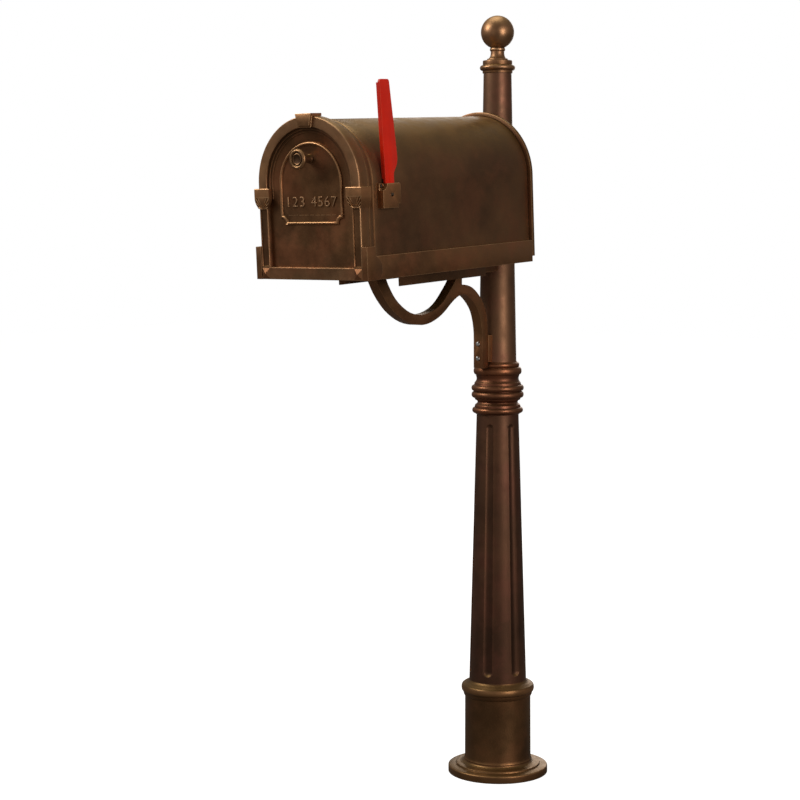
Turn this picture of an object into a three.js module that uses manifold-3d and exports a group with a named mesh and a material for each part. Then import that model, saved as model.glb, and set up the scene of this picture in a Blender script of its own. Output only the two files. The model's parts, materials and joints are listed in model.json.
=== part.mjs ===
// Kerbside mailbox on an ornamental cast post.
// Millimetres, +Z up. The door faces -Y, the flag is on the +X side, and the origin is on
// the ground on the post's axis. Mailbox pieces are drawn in the mailbox's own frame, where
// x runs across the door, y runs back from the door's face and z runs up from the underside.
import * as THREE from 'three';
import { mergeVertices } from 'three/addons/utils/BufferGeometryUtils.js';
import Module from 'manifold-3d';

const wasm = await Module();
wasm.setup();

// ---- Driving dimensions ------------------------------------------------------------

const GAP = 0.3;                // air left between two pieces that touch
const CUT = 1;                  // how far a cutter runs past the face it cuts
const TURNED_SIDES = 24;        // sides of a large turned piece
const PIN_SIDES = 10;           // sides of a screw, pin or rivet
const ARC_STEPS = 14;           // half the number of steps round an arch

// Post
const BASE_RADIUS = 105.5;
const FLANGE_TOP = 28;
const COLLAR_RADIUS = 70;
const COLLAR_TOP = 200;
const SHAFT_BOTTOM_RADIUS = 60.3;
const SHAFT_TOP_RADIUS = 44;
const SHAFT_TOP = 766;
const RINGS_TOP = 876.5;
const UPPER_BOTTOM_RADIUS = 39.2;
const UPPER_TOP_RADIUS = 28.9;
const UPPER_TOP = 1473;
const CAP_TOP = 1525;
const BALL_RADIUS = 34.3;
const BALL_HEIGHT = 1556.5;
const CORE_RADIUS = 24.15;      // outside of a 48.3 mm steel tube
const CORE_WALL = 3.7;
const CORE_TOP = 1468;
const CORE_CLEARANCE = 0.45;
const PLATE_RADIUS = 62;
const PLATE_THICKNESS = 10;
const FLUTES = 6;
const FLUTE_START = 15;         // degrees from the front towards +X
const STUD_RADIUS = 4;
const STUD_HOLE = 4.3;

// Scroll bracket
const BAR_WIDTH = 22;
const BAR_DEPTH = 18.8;
const LEG_Y = -59.8;
const LEG_BOTTOM = 866;
const LEG_FRONT = LEG_Y - BAR_DEPTH / 2;
const LEG_REAR = LEG_Y + BAR_DEPTH / 2;
const SADDLE_HALF_WIDTH = 13;
const SADDLE_TOP = 933;
const SADDLE_BOTTOM = 877.5;
const LEG_SCREW_HEIGHTS = [885.6, 915.6];
const LEG_SCREW_RADIUS = 3;
// Sides of the scroll as [y, z], from the channel through the belly and over the crest to the foot
const SCROLL_OUTSIDE = [
  [-431, 1096], [-421, 1073], [-409.9, 1052.2], [-400.2, 1036.5], [-392.5, 1026.5], [-383.8, 1016.4],
  [-373.4, 1006.3], [-361.6, 996.1], [-345.9, 985.7], [-329.4, 977.1], [-311.5, 970.3], [-291, 965.6],
  [-268.5, 963.8], [-249, 965.8], [-231, 970.8], [-215, 977.2], [-201, 984.7], [-189, 992.6], [-171, 1006],
  [-154, 1015.5], [-142, 1019.6], [-131, 1020.8], [-120, 1018], [-107.5, 1011], [-93, 998.2],
  [-83.7, 986.7], [-77.8, 975], [-72.2, 957], [-69.7, 940], [LEG_FRONT, 925], [LEG_FRONT, 895],
  [LEG_FRONT, LEG_BOTTOM],
];
const SCROLL_BELLY = [
  [-397, 1096], [-388.5, 1073], [-379.7, 1053.8], [-367.9, 1036.1], [-360.3, 1026.2], [-350.5, 1016.1],
  [-337.5, 1005.9], [-320, 995.5], [-304, 989], [-289, 985.7], [-275, 984.5], [-262, 985],
  [-247, 987], [-227.2, 992.6], [-210.5, 1000.9], [-197, 1010.7], [-186.8, 1020.3], [-177.1, 1030.1],
  [-167.7, 1039.9], [-160, 1049.5], [-150, 1064], [-143, 1078], [-139, 1096],
];
const SCROLL_CREST = [
  [-138, 1040.4], [-122.5, 1039.1], [-105.7, 1034.6], [-90.5, 1025.7], [-77.5, 1014.5], [-63.8, 997.5],
  [-54.4, 975], [-50.9, 947], [LEG_REAR, 930], [LEG_REAR, 905], [LEG_REAR, LEG_BOTTOM],
];

// Mailbox, placed in front of the post with its door end a little low
const BOX_PITCH = THREE.MathUtils.degToRad(2.88);
const BOX_FRONT = -586.2;
const BOX_BOTTOM = 1060.6;
const SHELL_HALF_WIDTH = 120.9;
const SHELL_SPRING = 174.1;     // height at which the walls turn into the arch
const SHELL_WALL = 3;
const SHELL_BOTTOM = 5;
const SHELL_FRONT = 27.4;
const SHELL_REAR = 535.4;
const FLOOR_TOP = 17;
const FLOOR_THICKNESS = 3;
const HOOD_HALF_WIDTH = 122.9;
const HOOD_FRONT = 25;
const HOOD_REAR = 44;
const MOUTH_HALF_WIDTH = 113;
const REAR_HALF_WIDTH = 129;
const REAR_FRONT = 531;
const REAR_BACK = 539;
const RAIL_OUTER = 132;
const RAIL_INNER = 123.2;
const RAIL_TOP = 43.2;
const RAIL_WALL = 3;
const RAIL_REAR = 526;
const LUG_INNER = 123.8;
const LUG_OUTER = 136.8;
const LUG_TOP = 61.4;

// Mounting channel and arm under the mailbox
const CHANNEL_HALF_WIDTH = 76;
const CHANNEL_FRONT = 165;
const CHANNEL_REAR = 441;
const CHANNEL_TOP = 13.5;
const CHANNEL_WALL = 3;
const CHANNEL_BOTTOM = -23;
const ARM_HALF_WIDTH = 22;
const ARM_FRONT = 428;
const FLOOR_SCREW_ACROSS = 55;
const FLOOR_SCREW_DEPTHS = { front: 200, rear: 400 };

// Door
const DOOR_HALF_WIDTH = 123.4;
const DOOR_SPRING = 177.8;
const DOOR_DEPTH = 24;
const BAND_WIDTH = 20;
const RAIL_HEIGHT = 23;         // the door's bottom rail
const PANEL_FRONT = 9;
const FIELD_TOP = 150;          // below this the panel runs straight to the pilasters and the rail
const PANEL_BACK = 13;
const RIM_WALL = 4;
const HINGE = { y: 15, z: 9 };
const HINGE_PIN_RADIUS = 3;
const HINGE_CHAMFER = 6;
const PLAQUE_HALF_WIDTH = 76.5;
const PLAQUE_BOTTOM = 102;
const PLAQUE_BEAD = 5.5;
const PLAQUE_NOTCH = 12;
const KNOB_HEIGHT = 223;
const KNOB_RADIUS = 18.85;
const CAPITAL = { inner: 94.5, outer: 130.9, top: 170, block: 152.5, foot: 132, front: -4.5 };
const KEYSTONE = { bottom: 280, top: 306, halfTop: 20, halfBottom: 14.6, front: -6.5 };

// Flag
const FLAG_PIVOT = { y: 79.6, z: 152.6 };
const FLAG_RIVET_RADIUS = 2.5;
const FLAG_INNER = 126;
const FLAG_OUTER = 131;
const FLAG_END_RADIUS = 12;
const FLAG_FLANGE = { inner: 122.2, bottom: 182, top: 356, wall: 3 };
const FLAG_SCREW = { y: 59.5, z: 168.5 };
const BRACKET = { inner: 121.3, outer: 135, front: 54, rear: 105, bottom: 128.5, top: 173.6 };

// ---- Finishes ----------------------------------------------------------------------

const FINISHES = {
  patina: { color: 0x4a3323, roughness: 0.5, metalness: 0.65 },
  casting: { color: 0x593a24, roughness: 0.48, metalness: 0.65 },
  rubbed: { color: 0x8a6038, roughness: 0.4, metalness: 0.75 },
  redBronze: { color: 0x5a2f1f, roughness: 0.45, metalness: 0.65 },
  flagRed: { color: 0xb3170c, roughness: 0.35, metalness: 0.0 },
  steel: { color: 0x8f9295, roughness: 0.35, metalness: 0.9 },
};

function piece(name, body, finish) {
  const surface = body.getMesh();
  const geometry = new THREE.BufferGeometry();
  geometry.setAttribute('position', new THREE.BufferAttribute(surface.vertProperties, 3));
  geometry.setIndex(new THREE.BufferAttribute(surface.triVerts, 1));
  geometry.computeVertexNormals();
  const mesh = new THREE.Mesh(geometry, new THREE.MeshStandardMaterial(FINISHES[finish]));
  mesh.name = name;
  return mesh;
}

// ---- Solids from three.js geometries -----------------------------------------------

function signedVolume(position, triangles) {
  const corner = [new THREE.Vector3(), new THREE.Vector3(), new THREE.Vector3()];
  let volume = 0;
  for (let i = 0; i < triangles.length; i += 3) {
    corner.forEach((point, k) => point.fromBufferAttribute(position, triangles[i + k]));
    volume += corner[0].dot(corner[1].clone().cross(corner[2])) / 6;
  }
  return volume;
}

/** One solid from a closed geometry, with its faces turned outward. */
function solid(geometry) {
  geometry.deleteAttribute('normal');
  geometry.deleteAttribute('uv');
  const merged = mergeVertices(geometry, 1e-4);
  const source = merged.index.array;
  const triangles = [];
  for (let i = 0; i < source.length; i += 3) {
    const [a, b, c] = source.slice(i, i + 3);
    if (a !== b && b !== c && c !== a) triangles.push(a, b, c);
  }
  const position = merged.attributes.position;
  if (signedVolume(position, triangles) < 0) triangles.reverse();
  return new wasm.Manifold(new wasm.Mesh({
    numProp: 3,
    vertProperties: Float32Array.from(position.array),
    triVerts: Uint32Array.from(triangles),
  }));
}

function blockGeometry([x0, x1], [y0, y1], [z0, z1]) {
  const geometry = new THREE.BoxGeometry(x1 - x0, y1 - y0, z1 - z0);
  return geometry.translate((x0 + x1) / 2, (y0 + y1) / 2, (z0 + z1) / 2);
}

function block(x, y, z) {
  return solid(blockGeometry(x, y, z));
}

/** A straight round rod along one axis, or a cone frustum where the end radii differ. */
function rod(axis, radius, [start, end], centre, endRadius = radius, sides = PIN_SIDES) {
  const geometry = new THREE.CylinderGeometry(endRadius, radius, end - start, sides);
  geometry.translate(0, (start + end) / 2, 0);
  if (axis === 'x') geometry.rotateZ(-Math.PI / 2);
  if (axis === 'z') geometry.rotateX(Math.PI / 2);
  return solid(geometry.translate(...centre));
}

/** A piece turned about the vertical axis from [radius, height] points. */
function turned(profile, sides = TURNED_SIDES) {
  const points = profile.map(([radius, height]) => new THREE.Vector2(radius, height));
  return solid(new THREE.LatheGeometry(points, sides).rotateX(Math.PI / 2));
}

/** A piece turned about a line along y, from [radius, y] points. */
function turnedAlongY(profile, [x, z], sides = TURNED_SIDES) {
  const points = profile.map(([radius, y]) => new THREE.Vector2(radius, y));
  return solid(new THREE.LatheGeometry(points, sides).translate(x, 0, z));
}

/** An x, z outline extruded from one y to another. */
function frontOutline(shape, [y0, y1]) {
  const settings = { depth: y1 - y0, bevelEnabled: false, curveSegments: ARC_STEPS };
  return solid(new THREE.ExtrudeGeometry(shape, settings).rotateX(Math.PI / 2).translate(0, y1, 0));
}

/** A y, z outline extruded from one x to another. */
function sideOutline(shape, [x0, x1]) {
  const settings = { depth: x1 - x0, bevelEnabled: false, curveSegments: ARC_STEPS };
  const turn = new THREE.Matrix4().makeBasis(
    new THREE.Vector3(0, 1, 0),
    new THREE.Vector3(0, 0, 1),
    new THREE.Vector3(1, 0, 0),
  );
  return solid(new THREE.ExtrudeGeometry(shape, settings).applyMatrix4(turn).translate(x0, 0, 0));
}

/** The outline of an arch with straight sides, a flat bottom and a half-round top. */
function arch(halfWidth, spring, bottom) {
  const shape = new THREE.Shape();
  shape.moveTo(-halfWidth, bottom);
  shape.lineTo(halfWidth, bottom);
  shape.lineTo(halfWidth, spring);
  shape.absarc(0, spring, halfWidth, 0, Math.PI, false);
  shape.closePath();
  return shape;
}

/** Points of a half-round bead that bulges from one radius out to another. */
function bead(bottom, top, inner, outer, steps = 4) {
  return Array.from({ length: steps + 1 }, (_, k) => {
    const angle = Math.PI * k / steps;
    const middle = (bottom + top) / 2;
    return [inner + (outer - inner) * Math.sin(angle), middle - (top - bottom) / 2 * Math.cos(angle)];
  });
}

/** Moves a geometry drawn in the mailbox's frame to where the mailbox stands. */
function atMailbox(geometry) {
  return geometry.rotateX(BOX_PITCH).translate(0, BOX_FRONT, BOX_BOTTOM);
}

/** The radius of the upper shaft at a height. */
function upperRadius(height) {
  const share = (height - RINGS_TOP) / (UPPER_TOP - RINGS_TOP);
  return THREE.MathUtils.lerp(UPPER_BOTTOM_RADIUS, UPPER_TOP_RADIUS, share);
}

/** The upper shaft's outside between two heights, with a running gap round it. */
function upperShaftRoom([low, high]) {
  const lowRadius = upperRadius(low) + GAP;
  return rod('z', lowRadius, [low, high], [0, 0, 0], upperRadius(high) + GAP, TURNED_SIDES);
}

/** Holes for the two screws that hold the scroll bracket's leg. */
function cutLegScrewHoles(body) {
  return LEG_SCREW_HEIGHTS.reduce(
    (rest, z) => rest.subtract(rod('y', LEG_SCREW_RADIUS + GAP, [-80, -10], [0, 0, z])), body);
}

// ---- Post --------------------------------------------------------------------------

function basePlate() {
  const anchorRadius = 43;
  const holeRadius = 7;
  let plate = turned([[0, 0], [PLATE_RADIUS, 0], [PLATE_RADIUS, PLATE_THICKNESS], [0, PLATE_THICKNESS]]);
  for (let k = 0; k < 4; k += 1) {
    const angle = Math.PI / 4 + k * Math.PI / 2;
    const centre = [anchorRadius * Math.cos(angle), anchorRadius * Math.sin(angle), 0];
    plate = plate.subtract(rod('z', holeRadius, [-CUT, PLATE_THICKNESS + CUT], centre));
  }
  return plate;
}

function baseFlange() {
  const inner = PLATE_RADIUS + GAP;
  return turned([
    [inner, 0], [BASE_RADIUS, 0], [BASE_RADIUS, 11], [103.5, 15], [99, 16.5], [93, 17.5],
    [86, 20], [78, 24], [COLLAR_RADIUS + 0.5, FLANGE_TOP], [inner, FLANGE_TOP], [inner, 0],
  ]);
}

function baseCollar() {
  const coveBottom = 166;
  const beadBottom = 174.5;
  const beadTop = 190.5;
  const bore = 56;
  const seatBore = 46;
  return turned([
    [bore, FLANGE_TOP], [COLLAR_RADIUS, FLANGE_TOP], [COLLAR_RADIUS - 0.5, coveBottom],
    ...bead(beadBottom, beadTop, COLLAR_RADIUS + 3, 77),
    [SHAFT_BOTTOM_RADIUS + 5, beadTop + 4], [SHAFT_BOTTOM_RADIUS, COLLAR_TOP],
    [seatBore, COLLAR_TOP], [seatBore, beadTop - 3], [bore, beadTop - 13], [bore, FLANGE_TOP],
  ]);
}

/** A round-bottomed groove that follows the shaft's taper and ends in a half dome. */
function flute(angle) {
  const low = 228;
  const high = 736;
  const steps = 12;
  const depthRatio = 1.125;     // groove axis, as a share of the shaft's radius
  const widthRatio = 0.212;     // groove radius, as a share of the shaft's radius
  const slope = (SHAFT_BOTTOM_RADIUS - SHAFT_TOP_RADIUS) / (SHAFT_TOP - COLLAR_TOP);
  const radiusAt = (z) => SHAFT_BOTTOM_RADIUS - slope * (z - COLLAR_TOP);
  const [lowWidth, highWidth] = [low, high].map((z) => widthRatio * radiusAt(z));
  const profile = [];
  for (let k = 0; k <= steps / 2; k += 1) {
    const turn = Math.PI / 2 * (k / (steps / 2) - 1);
    profile.push([lowWidth * Math.cos(turn), low + lowWidth * Math.sin(turn)]);
  }
  for (let k = 0; k <= steps / 2; k += 1) {
    const turn = Math.PI / 2 * (k / (steps / 2));
    profile.push([highWidth * Math.cos(turn), high + highWidth * Math.sin(turn)]);
  }
  profile[0][0] = 0;
  profile[profile.length - 1][0] = 0;
  const points = profile.map(([radius, height]) => new THREE.Vector2(radius, height));
  const groove = new THREE.LatheGeometry(points, 12).rotateX(Math.PI / 2);
  const lean = new THREE.Matrix4().set(
    1, 0, 0, 0,
    0, 1, depthRatio * slope, -depthRatio * radiusAt(0),
    0, 0, 1, 0,
    0, 0, 0, 1,
  );
  return solid(groove.applyMatrix4(lean).rotateZ(angle));
}

function flutedShaft() {
  const wall = 9;
  const core = CORE_RADIUS + CORE_CLEARANCE;
  const landBottom = SHAFT_TOP - 16;
  let shaft = turned([
    [SHAFT_BOTTOM_RADIUS - wall, COLLAR_TOP], [SHAFT_BOTTOM_RADIUS, COLLAR_TOP],
    [SHAFT_TOP_RADIUS, SHAFT_TOP], [core, SHAFT_TOP], [core, landBottom],
    [SHAFT_TOP_RADIUS - wall, landBottom - 8], [SHAFT_BOTTOM_RADIUS - wall, COLLAR_TOP],
  ]);
  for (let k = 0; k < FLUTES; k += 1) {
    const angle = THREE.MathUtils.degToRad(FLUTE_START + k * 360 / FLUTES);
    shaft = shaft.subtract(flute(angle));
  }
  return shaft;
}

function ringCollar() {
  const bore = 36;
  return turned([
    [bore, SHAFT_TOP], [47.4, SHAFT_TOP],
    ...bead(768, 780, 47.4, 53.3),
    [47.4, 785], [42.2, 790], [42.2, 793], [47.8, 798],
    ...bead(800, 813.5, 49, 54.7),
    ...bead(814, 826.5, 49, 54.9),
    [47.8, 831], [44, 838], [44, 844], [46.5, 848.5],
    ...bead(849, 863.5, 46.5, 50.4),
    ...bead(864, 873, 42, 45.5),
    [40, RINGS_TOP], [bore, RINGS_TOP], [bore, SHAFT_TOP],
  ]);
}

function upperShaft() {
  const core = CORE_RADIUS + CORE_CLEARANCE;
  const wall = 4.3;
  const land = 15;
  const low = RINGS_TOP + land;
  const high = UPPER_TOP - land;
  return cutLegScrewHoles(turned([
    [core, RINGS_TOP], [UPPER_BOTTOM_RADIUS, RINGS_TOP], [UPPER_TOP_RADIUS, UPPER_TOP],
    [core, UPPER_TOP], [core, high], [upperRadius(high) - wall, high - 4],
    [upperRadius(low) - wall, low + 4], [core, low], [core, RINGS_TOP],
  ]));
}

function corePipe() {
  const bore = CORE_RADIUS - CORE_WALL;
  return cutLegScrewHoles(turned([
    [bore, PLATE_THICKNESS], [CORE_RADIUS, PLATE_THICKNESS], [CORE_RADIUS, CORE_TOP],
    [bore, CORE_TOP], [bore, PLATE_THICKNESS],
  ], 24));
}

function pipePlug() {
  const radius = CORE_RADIUS - CORE_WALL - GAP;
  const bottom = CORE_TOP - 20;
  return turned([
    [STUD_HOLE, bottom], [radius, bottom], [radius, CORE_TOP], [STUD_HOLE, CORE_TOP], [STUD_HOLE, bottom],
  ], 24);
}

function topCap() {
  return turned([
    [STUD_HOLE, UPPER_TOP], [31, UPPER_TOP], [31, 1478],
    ...bead(1478.5, 1489, 31.5, 36.5),
    [30.5, 1490], [30.5, 1498], [27, 1500], [21.5, 1502], [16.5, 1507], [14, 1513.6],
    ...bead(1516, CAP_TOP, 14.2, 15.8),
    [STUD_HOLE, CAP_TOP], [STUD_HOLE, UPPER_TOP],
  ]);
}

function ballFinial() {
  const steps = 10;
  const seat = Math.asin((CAP_TOP - BALL_HEIGHT) / BALL_RADIUS);
  const holeTop = CAP_TOP + 20;
  const profile = [[0, holeTop], [STUD_HOLE, holeTop], [STUD_HOLE, CAP_TOP]];
  for (let k = 0; k <= steps; k += 1) {
    const latitude = THREE.MathUtils.lerp(seat, Math.PI / 2, k / steps);
    profile.push([BALL_RADIUS * Math.cos(latitude), BALL_HEIGHT + BALL_RADIUS * Math.sin(latitude)]);
  }
  profile[profile.length - 1][0] = 0;
  return turned(profile);
}

function finialStud() {
  return rod('z', STUD_RADIUS, [CORE_TOP - 16, CAP_TOP + 18], [0, 0, 0]);
}

// ---- Scroll bracket ----------------------------------------------------------------

function scrollBracket() {
  const smooth = (points, count) => new THREE.SplineCurve(
    points.map(([y, z]) => new THREE.Vector2(y, z)),
  ).getPoints(count);
  const outline = new THREE.Shape([
    ...smooth(SCROLL_OUTSIDE, 44),
    ...smooth(SCROLL_CREST, 18).reverse(),
    new THREE.Vector2(SCROLL_CREST[0][0], SCROLL_BELLY.at(-1)[1]),
    ...smooth(SCROLL_BELLY, 28).reverse(),
  ]);
  const bar = sideOutline(outline, [-BAR_WIDTH / 2, BAR_WIDTH / 2]);
  const webUnderside = CHANNEL_TOP - CHANNEL_WALL - GAP;
  const aboveChannel = solid(atMailbox(blockGeometry([-60, 60], [100, 400], [webUnderside, 90])));
  const armUnderside = CHANNEL_BOTTOM - GAP;
  const aboveArm = solid(atMailbox(blockGeometry([-60, 60], [400, 600], [armUnderside, 90])));
  return cutLegScrewHoles(bar.subtract(aboveChannel).subtract(aboveArm));
}

function saddlePlate() {
  const front = LEG_REAR + GAP;
  const heights = [SADDLE_BOTTOM, SADDLE_TOP];
  const pad = block([-SADDLE_HALF_WIDTH, SADDLE_HALF_WIDTH], [front, -30], heights);
  return cutLegScrewHoles(pad.subtract(upperShaftRoom([SADDLE_BOTTOM - CUT, SADDLE_TOP + CUT])));
}

function legScrew(height) {
  const face = LEG_FRONT;
  const tip = -(CORE_RADIUS - CORE_WALL) + 4;
  const profile = [
    [0, face - 3.2], [2.6, face - 3], [4.4, face - 2], [5, face - 2 * GAP],
    [LEG_SCREW_RADIUS, face - 2 * GAP], [LEG_SCREW_RADIUS, tip - 2], [1.4, tip], [0, tip],
  ];
  return turnedAlongY(profile, [0, height], PIN_SIDES);
}

function mountArm() {
  const reach = 560;
  const top = CHANNEL_TOP - CHANNEL_WALL - GAP;
  const across = [-ARM_HALF_WIDTH, ARM_HALF_WIDTH];
  const arm = solid(atMailbox(blockGeometry(across, [ARM_FRONT, reach], [CHANNEL_BOTTOM, top])));
  return arm.subtract(upperShaftRoom([BOX_BOTTOM - 60, BOX_BOTTOM + 120]));
}

// ---- Mailbox body ------------------------------------------------------------------

function floorScrewHoles(body) {
  let rest = body;
  for (const x of [-FLOOR_SCREW_ACROSS, FLOOR_SCREW_ACROSS]) {
    for (const y of Object.values(FLOOR_SCREW_DEPTHS)) {
      rest = rest.subtract(rod('z', 2.7, [CHANNEL_BOTTOM, FLOOR_TOP + CUT], [x, y, 0]));
    }
  }
  return rest;
}

function mountChannel() {
  const outer = block([-CHANNEL_HALF_WIDTH, CHANNEL_HALF_WIDTH], [CHANNEL_FRONT, CHANNEL_REAR],
    [CHANNEL_BOTTOM, CHANNEL_TOP]);
  const insideHalf = CHANNEL_HALF_WIDTH - CHANNEL_WALL;
  const inside = block([-insideHalf, insideHalf], [CHANNEL_FRONT - CUT, CHANNEL_REAR + CUT],
    [CHANNEL_BOTTOM - CUT, CHANNEL_TOP - CHANNEL_WALL]);
  return floorScrewHoles(outer.subtract(inside));
}

function floorScrew(x, y) {
  const profile = [
    [0, CHANNEL_TOP - 11], [1.2, CHANNEL_TOP - 11], [2.4, CHANNEL_TOP - 8], [2.4, FLOOR_TOP + GAP],
    [4.6, FLOOR_TOP + GAP], [4, FLOOR_TOP + 2], [2.2, FLOOR_TOP + 2.7], [0, FLOOR_TOP + 2.8],
  ];
  const points = profile.map(([radius, height]) => new THREE.Vector2(radius, height));
  return solid(new THREE.LatheGeometry(points, PIN_SIDES).rotateX(Math.PI / 2).translate(x, y, 0));
}

function boxShell() {
  const length = [SHELL_FRONT, SHELL_REAR];
  const outer = frontOutline(arch(SHELL_HALF_WIDTH, SHELL_SPRING, SHELL_BOTTOM), length);
  const inner = frontOutline(arch(SHELL_HALF_WIDTH - SHELL_WALL, SHELL_SPRING, SHELL_BOTTOM - CUT),
    [SHELL_FRONT - CUT, SHELL_REAR + CUT]);
  const flagScrewHole = rod('x', 2.3, [110, 130], [0, FLAG_SCREW.y, FLAG_SCREW.z]);
  return outer.subtract(inner).subtract(flagScrewHole);
}

function floorPanel() {
  const half = SHELL_HALF_WIDTH - SHELL_WALL - GAP;
  return floorScrewHoles(block([-half, half], [SHELL_FRONT, SHELL_REAR],
    [FLOOR_TOP - FLOOR_THICKNESS, FLOOR_TOP]));
}

function frontHood() {
  const outer = frontOutline(arch(HOOD_HALF_WIDTH, SHELL_SPRING, 2), [HOOD_FRONT, HOOD_REAR]);
  const shellRoom = frontOutline(arch(SHELL_HALF_WIDTH + GAP, SHELL_SPRING, 2 - CUT),
    [SHELL_FRONT - GAP, HOOD_REAR + CUT]);
  const mouth = frontOutline(arch(MOUTH_HALF_WIDTH, SHELL_SPRING, 2 - CUT),
    [HOOD_FRONT - CUT, SHELL_FRONT + CUT]);
  return outer.subtract(shellRoom).subtract(mouth);
}

function rearPlate() {
  const bottom = CHANNEL_TOP - CHANNEL_WALL + GAP;
  const outer = frontOutline(arch(REAR_HALF_WIDTH, SHELL_SPRING, bottom), [REAR_FRONT, REAR_BACK]);
  const shellRoom = frontOutline(arch(SHELL_HALF_WIDTH + GAP, SHELL_SPRING, SHELL_BOTTOM - GAP),
    [REAR_FRONT - CUT, SHELL_REAR + GAP]);
  return outer.subtract(shellRoom);
}

/** Side rail, an angle with its top flange turned in to the shell; side is 1 or -1. */
function sideRail(side) {
  const across = (inner, outer) => (side > 0 ? [inner, outer] : [-outer, -inner]);
  const web = block(across(RAIL_OUTER - RAIL_WALL, RAIL_OUTER), [HOOD_FRONT, RAIL_REAR], [0, RAIL_TOP]);
  const top = [RAIL_TOP - RAIL_WALL, RAIL_TOP];
  const flange = block(across(RAIL_INNER, RAIL_OUTER), [HOOD_FRONT, RAIL_REAR], top);
  const ledge = block(across(SHELL_HALF_WIDTH + GAP, RAIL_OUTER), [HOOD_REAR + GAP, RAIL_REAR], top);
  return web.add(flange).add(ledge);
}

/** Hinge lug beside the foot of the door, with a round boss lapped over the rail's end. */
function hingeLug(side) {
  const across = (inner, outer) => (side > 0 ? [inner, outer] : [-outer, -inner]);
  const bossRadius = 25.5;
  const bossCentre = { y: 16.5, z: 20 };
  const foot = Math.sqrt(bossRadius ** 2 - bossCentre.z ** 2);
  const cheek = block(across(LUG_INNER, LUG_OUTER), [-1, HOOD_FRONT - GAP], [0, LUG_TOP]);
  const outline = new THREE.Shape();
  outline.moveTo(bossCentre.y, 0);
  outline.lineTo(bossCentre.y + foot, 0);
  outline.absarc(bossCentre.y, bossCentre.z, bossRadius, -Math.asin(bossCentre.z / bossRadius), Math.PI / 2);
  outline.closePath();
  const boss = sideOutline(outline, across(RAIL_OUTER + GAP, LUG_OUTER));
  const pinHole = rod('x', HINGE_PIN_RADIUS + GAP, across(LUG_INNER - CUT, LUG_OUTER - 2),
    [0, HINGE.y, HINGE.z]);
  return cheek.add(boss).subtract(pinHole);
}

function hingePin(side) {
  const [inner, outer] = [116, LUG_OUTER - 2.4];
  return rod('x', HINGE_PIN_RADIUS, side > 0 ? [inner, outer] : [-outer, -inner], [0, HINGE.y, HINGE.z]);
}

/** Spring leaf riveted under the roof; its front end bears on the door's catch. */
function catchClip() {
  const thickness = 1.2;
  const foot = { front: 47, rear: 72, z: 289.8 };
  const tip = { y: 30, z: 285 };
  const outline = new THREE.Shape();
  outline.moveTo(foot.rear, foot.z);
  outline.lineTo(foot.rear, foot.z + thickness);
  outline.lineTo(foot.front, foot.z + thickness);
  outline.lineTo(tip.y, tip.z + thickness);
  outline.lineTo(tip.y, tip.z);
  outline.lineTo(foot.front, foot.z);
  outline.closePath();
  return sideOutline(outline, [-8, 8]);
}

// ---- Door --------------------------------------------------------------------------

/** The recess in the door's face: stepped round the arch, plain between the pilasters. */
function doorRecess(shrink = 0) {
  const steps = [
    { inset: BAND_WIDTH, depth: 4.5 },
    { inset: BAND_WIDTH + 5, depth: 7 },
    { inset: BAND_WIDTH + 10, depth: PANEL_FRONT },
  ];
  const flat = DOOR_HALF_WIDTH - BAND_WIDTH - shrink;
  const heights = [RAIL_HEIGHT + shrink, FIELD_TOP - shrink];
  const field = block([-flat, flat], [-CUT, PANEL_FRONT - shrink], heights);
  return steps.map(({ inset, depth }) => frontOutline(
    arch(DOOR_HALF_WIDTH - inset - shrink, DOOR_SPRING, RAIL_HEIGHT + inset - BAND_WIDTH + shrink),
    [-CUT, depth - shrink],
  )).reduce((all, step) => all.add(step), field);
}

/** Room that the trim on the door's face keeps clear for the door casting. */
function doorKeepOut() {
  const blank = frontOutline(arch(DOOR_HALF_WIDTH + GAP, DOOR_SPRING, -CUT), [-GAP, DOOR_DEPTH + 10]);
  return blank.subtract(doorRecess(GAP));
}

function doorPanel() {
  let door = frontOutline(arch(DOOR_HALF_WIDTH, DOOR_SPRING, 0), [0, DOOR_DEPTH]);
  door = door.subtract(doorRecess());
  const tray = frontOutline(arch(DOOR_HALF_WIDTH - RIM_WALL, DOOR_SPRING, RIM_WALL),
    [PANEL_BACK, DOOR_DEPTH + CUT]);
  door = door.subtract(tray);
  const pilasterCentre = DOOR_HALF_WIDTH - BAND_WIDTH / 2;
  for (const side of [-1, 1]) {
    const x = side * pilasterCentre;
    door = door.subtract(block([x - 8, x + 8], [-CUT, 2], [RAIL_HEIGHT + 1.5, CAPITAL.foot - 1]));
    const nailhead = new THREE.ConeGeometry(9.5 * Math.SQRT2, 4, 4).rotateY(Math.PI / 4);
    nailhead.rotateX(Math.PI / 2).translate(x, -1.5, RAIL_HEIGHT / 2);
    door = door.add(solid(nailhead));
    const pinHole = rod('x', HINGE_PIN_RADIUS + GAP, [-10, 10], [side * 120, HINGE.y, HINGE.z]);
    door = door.subtract(pinHole);
  }
  const chamfer = new THREE.Shape();
  chamfer.moveTo(DOOR_DEPTH - HINGE_CHAMFER, 0);
  chamfer.lineTo(DOOR_DEPTH - HINGE_CHAMFER, -CUT);
  chamfer.lineTo(DOOR_DEPTH + CUT, -CUT);
  chamfer.lineTo(DOOR_DEPTH + CUT, HINGE_CHAMFER + CUT);
  chamfer.closePath();
  door = door.subtract(sideOutline(chamfer, [-DOOR_HALF_WIDTH - CUT, DOOR_HALF_WIDTH + CUT]));
  return door.subtract(rod('y', 2.8, [PANEL_FRONT - CUT, PANEL_BACK + CUT], [0, 0, KNOB_HEIGHT]));
}

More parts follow.
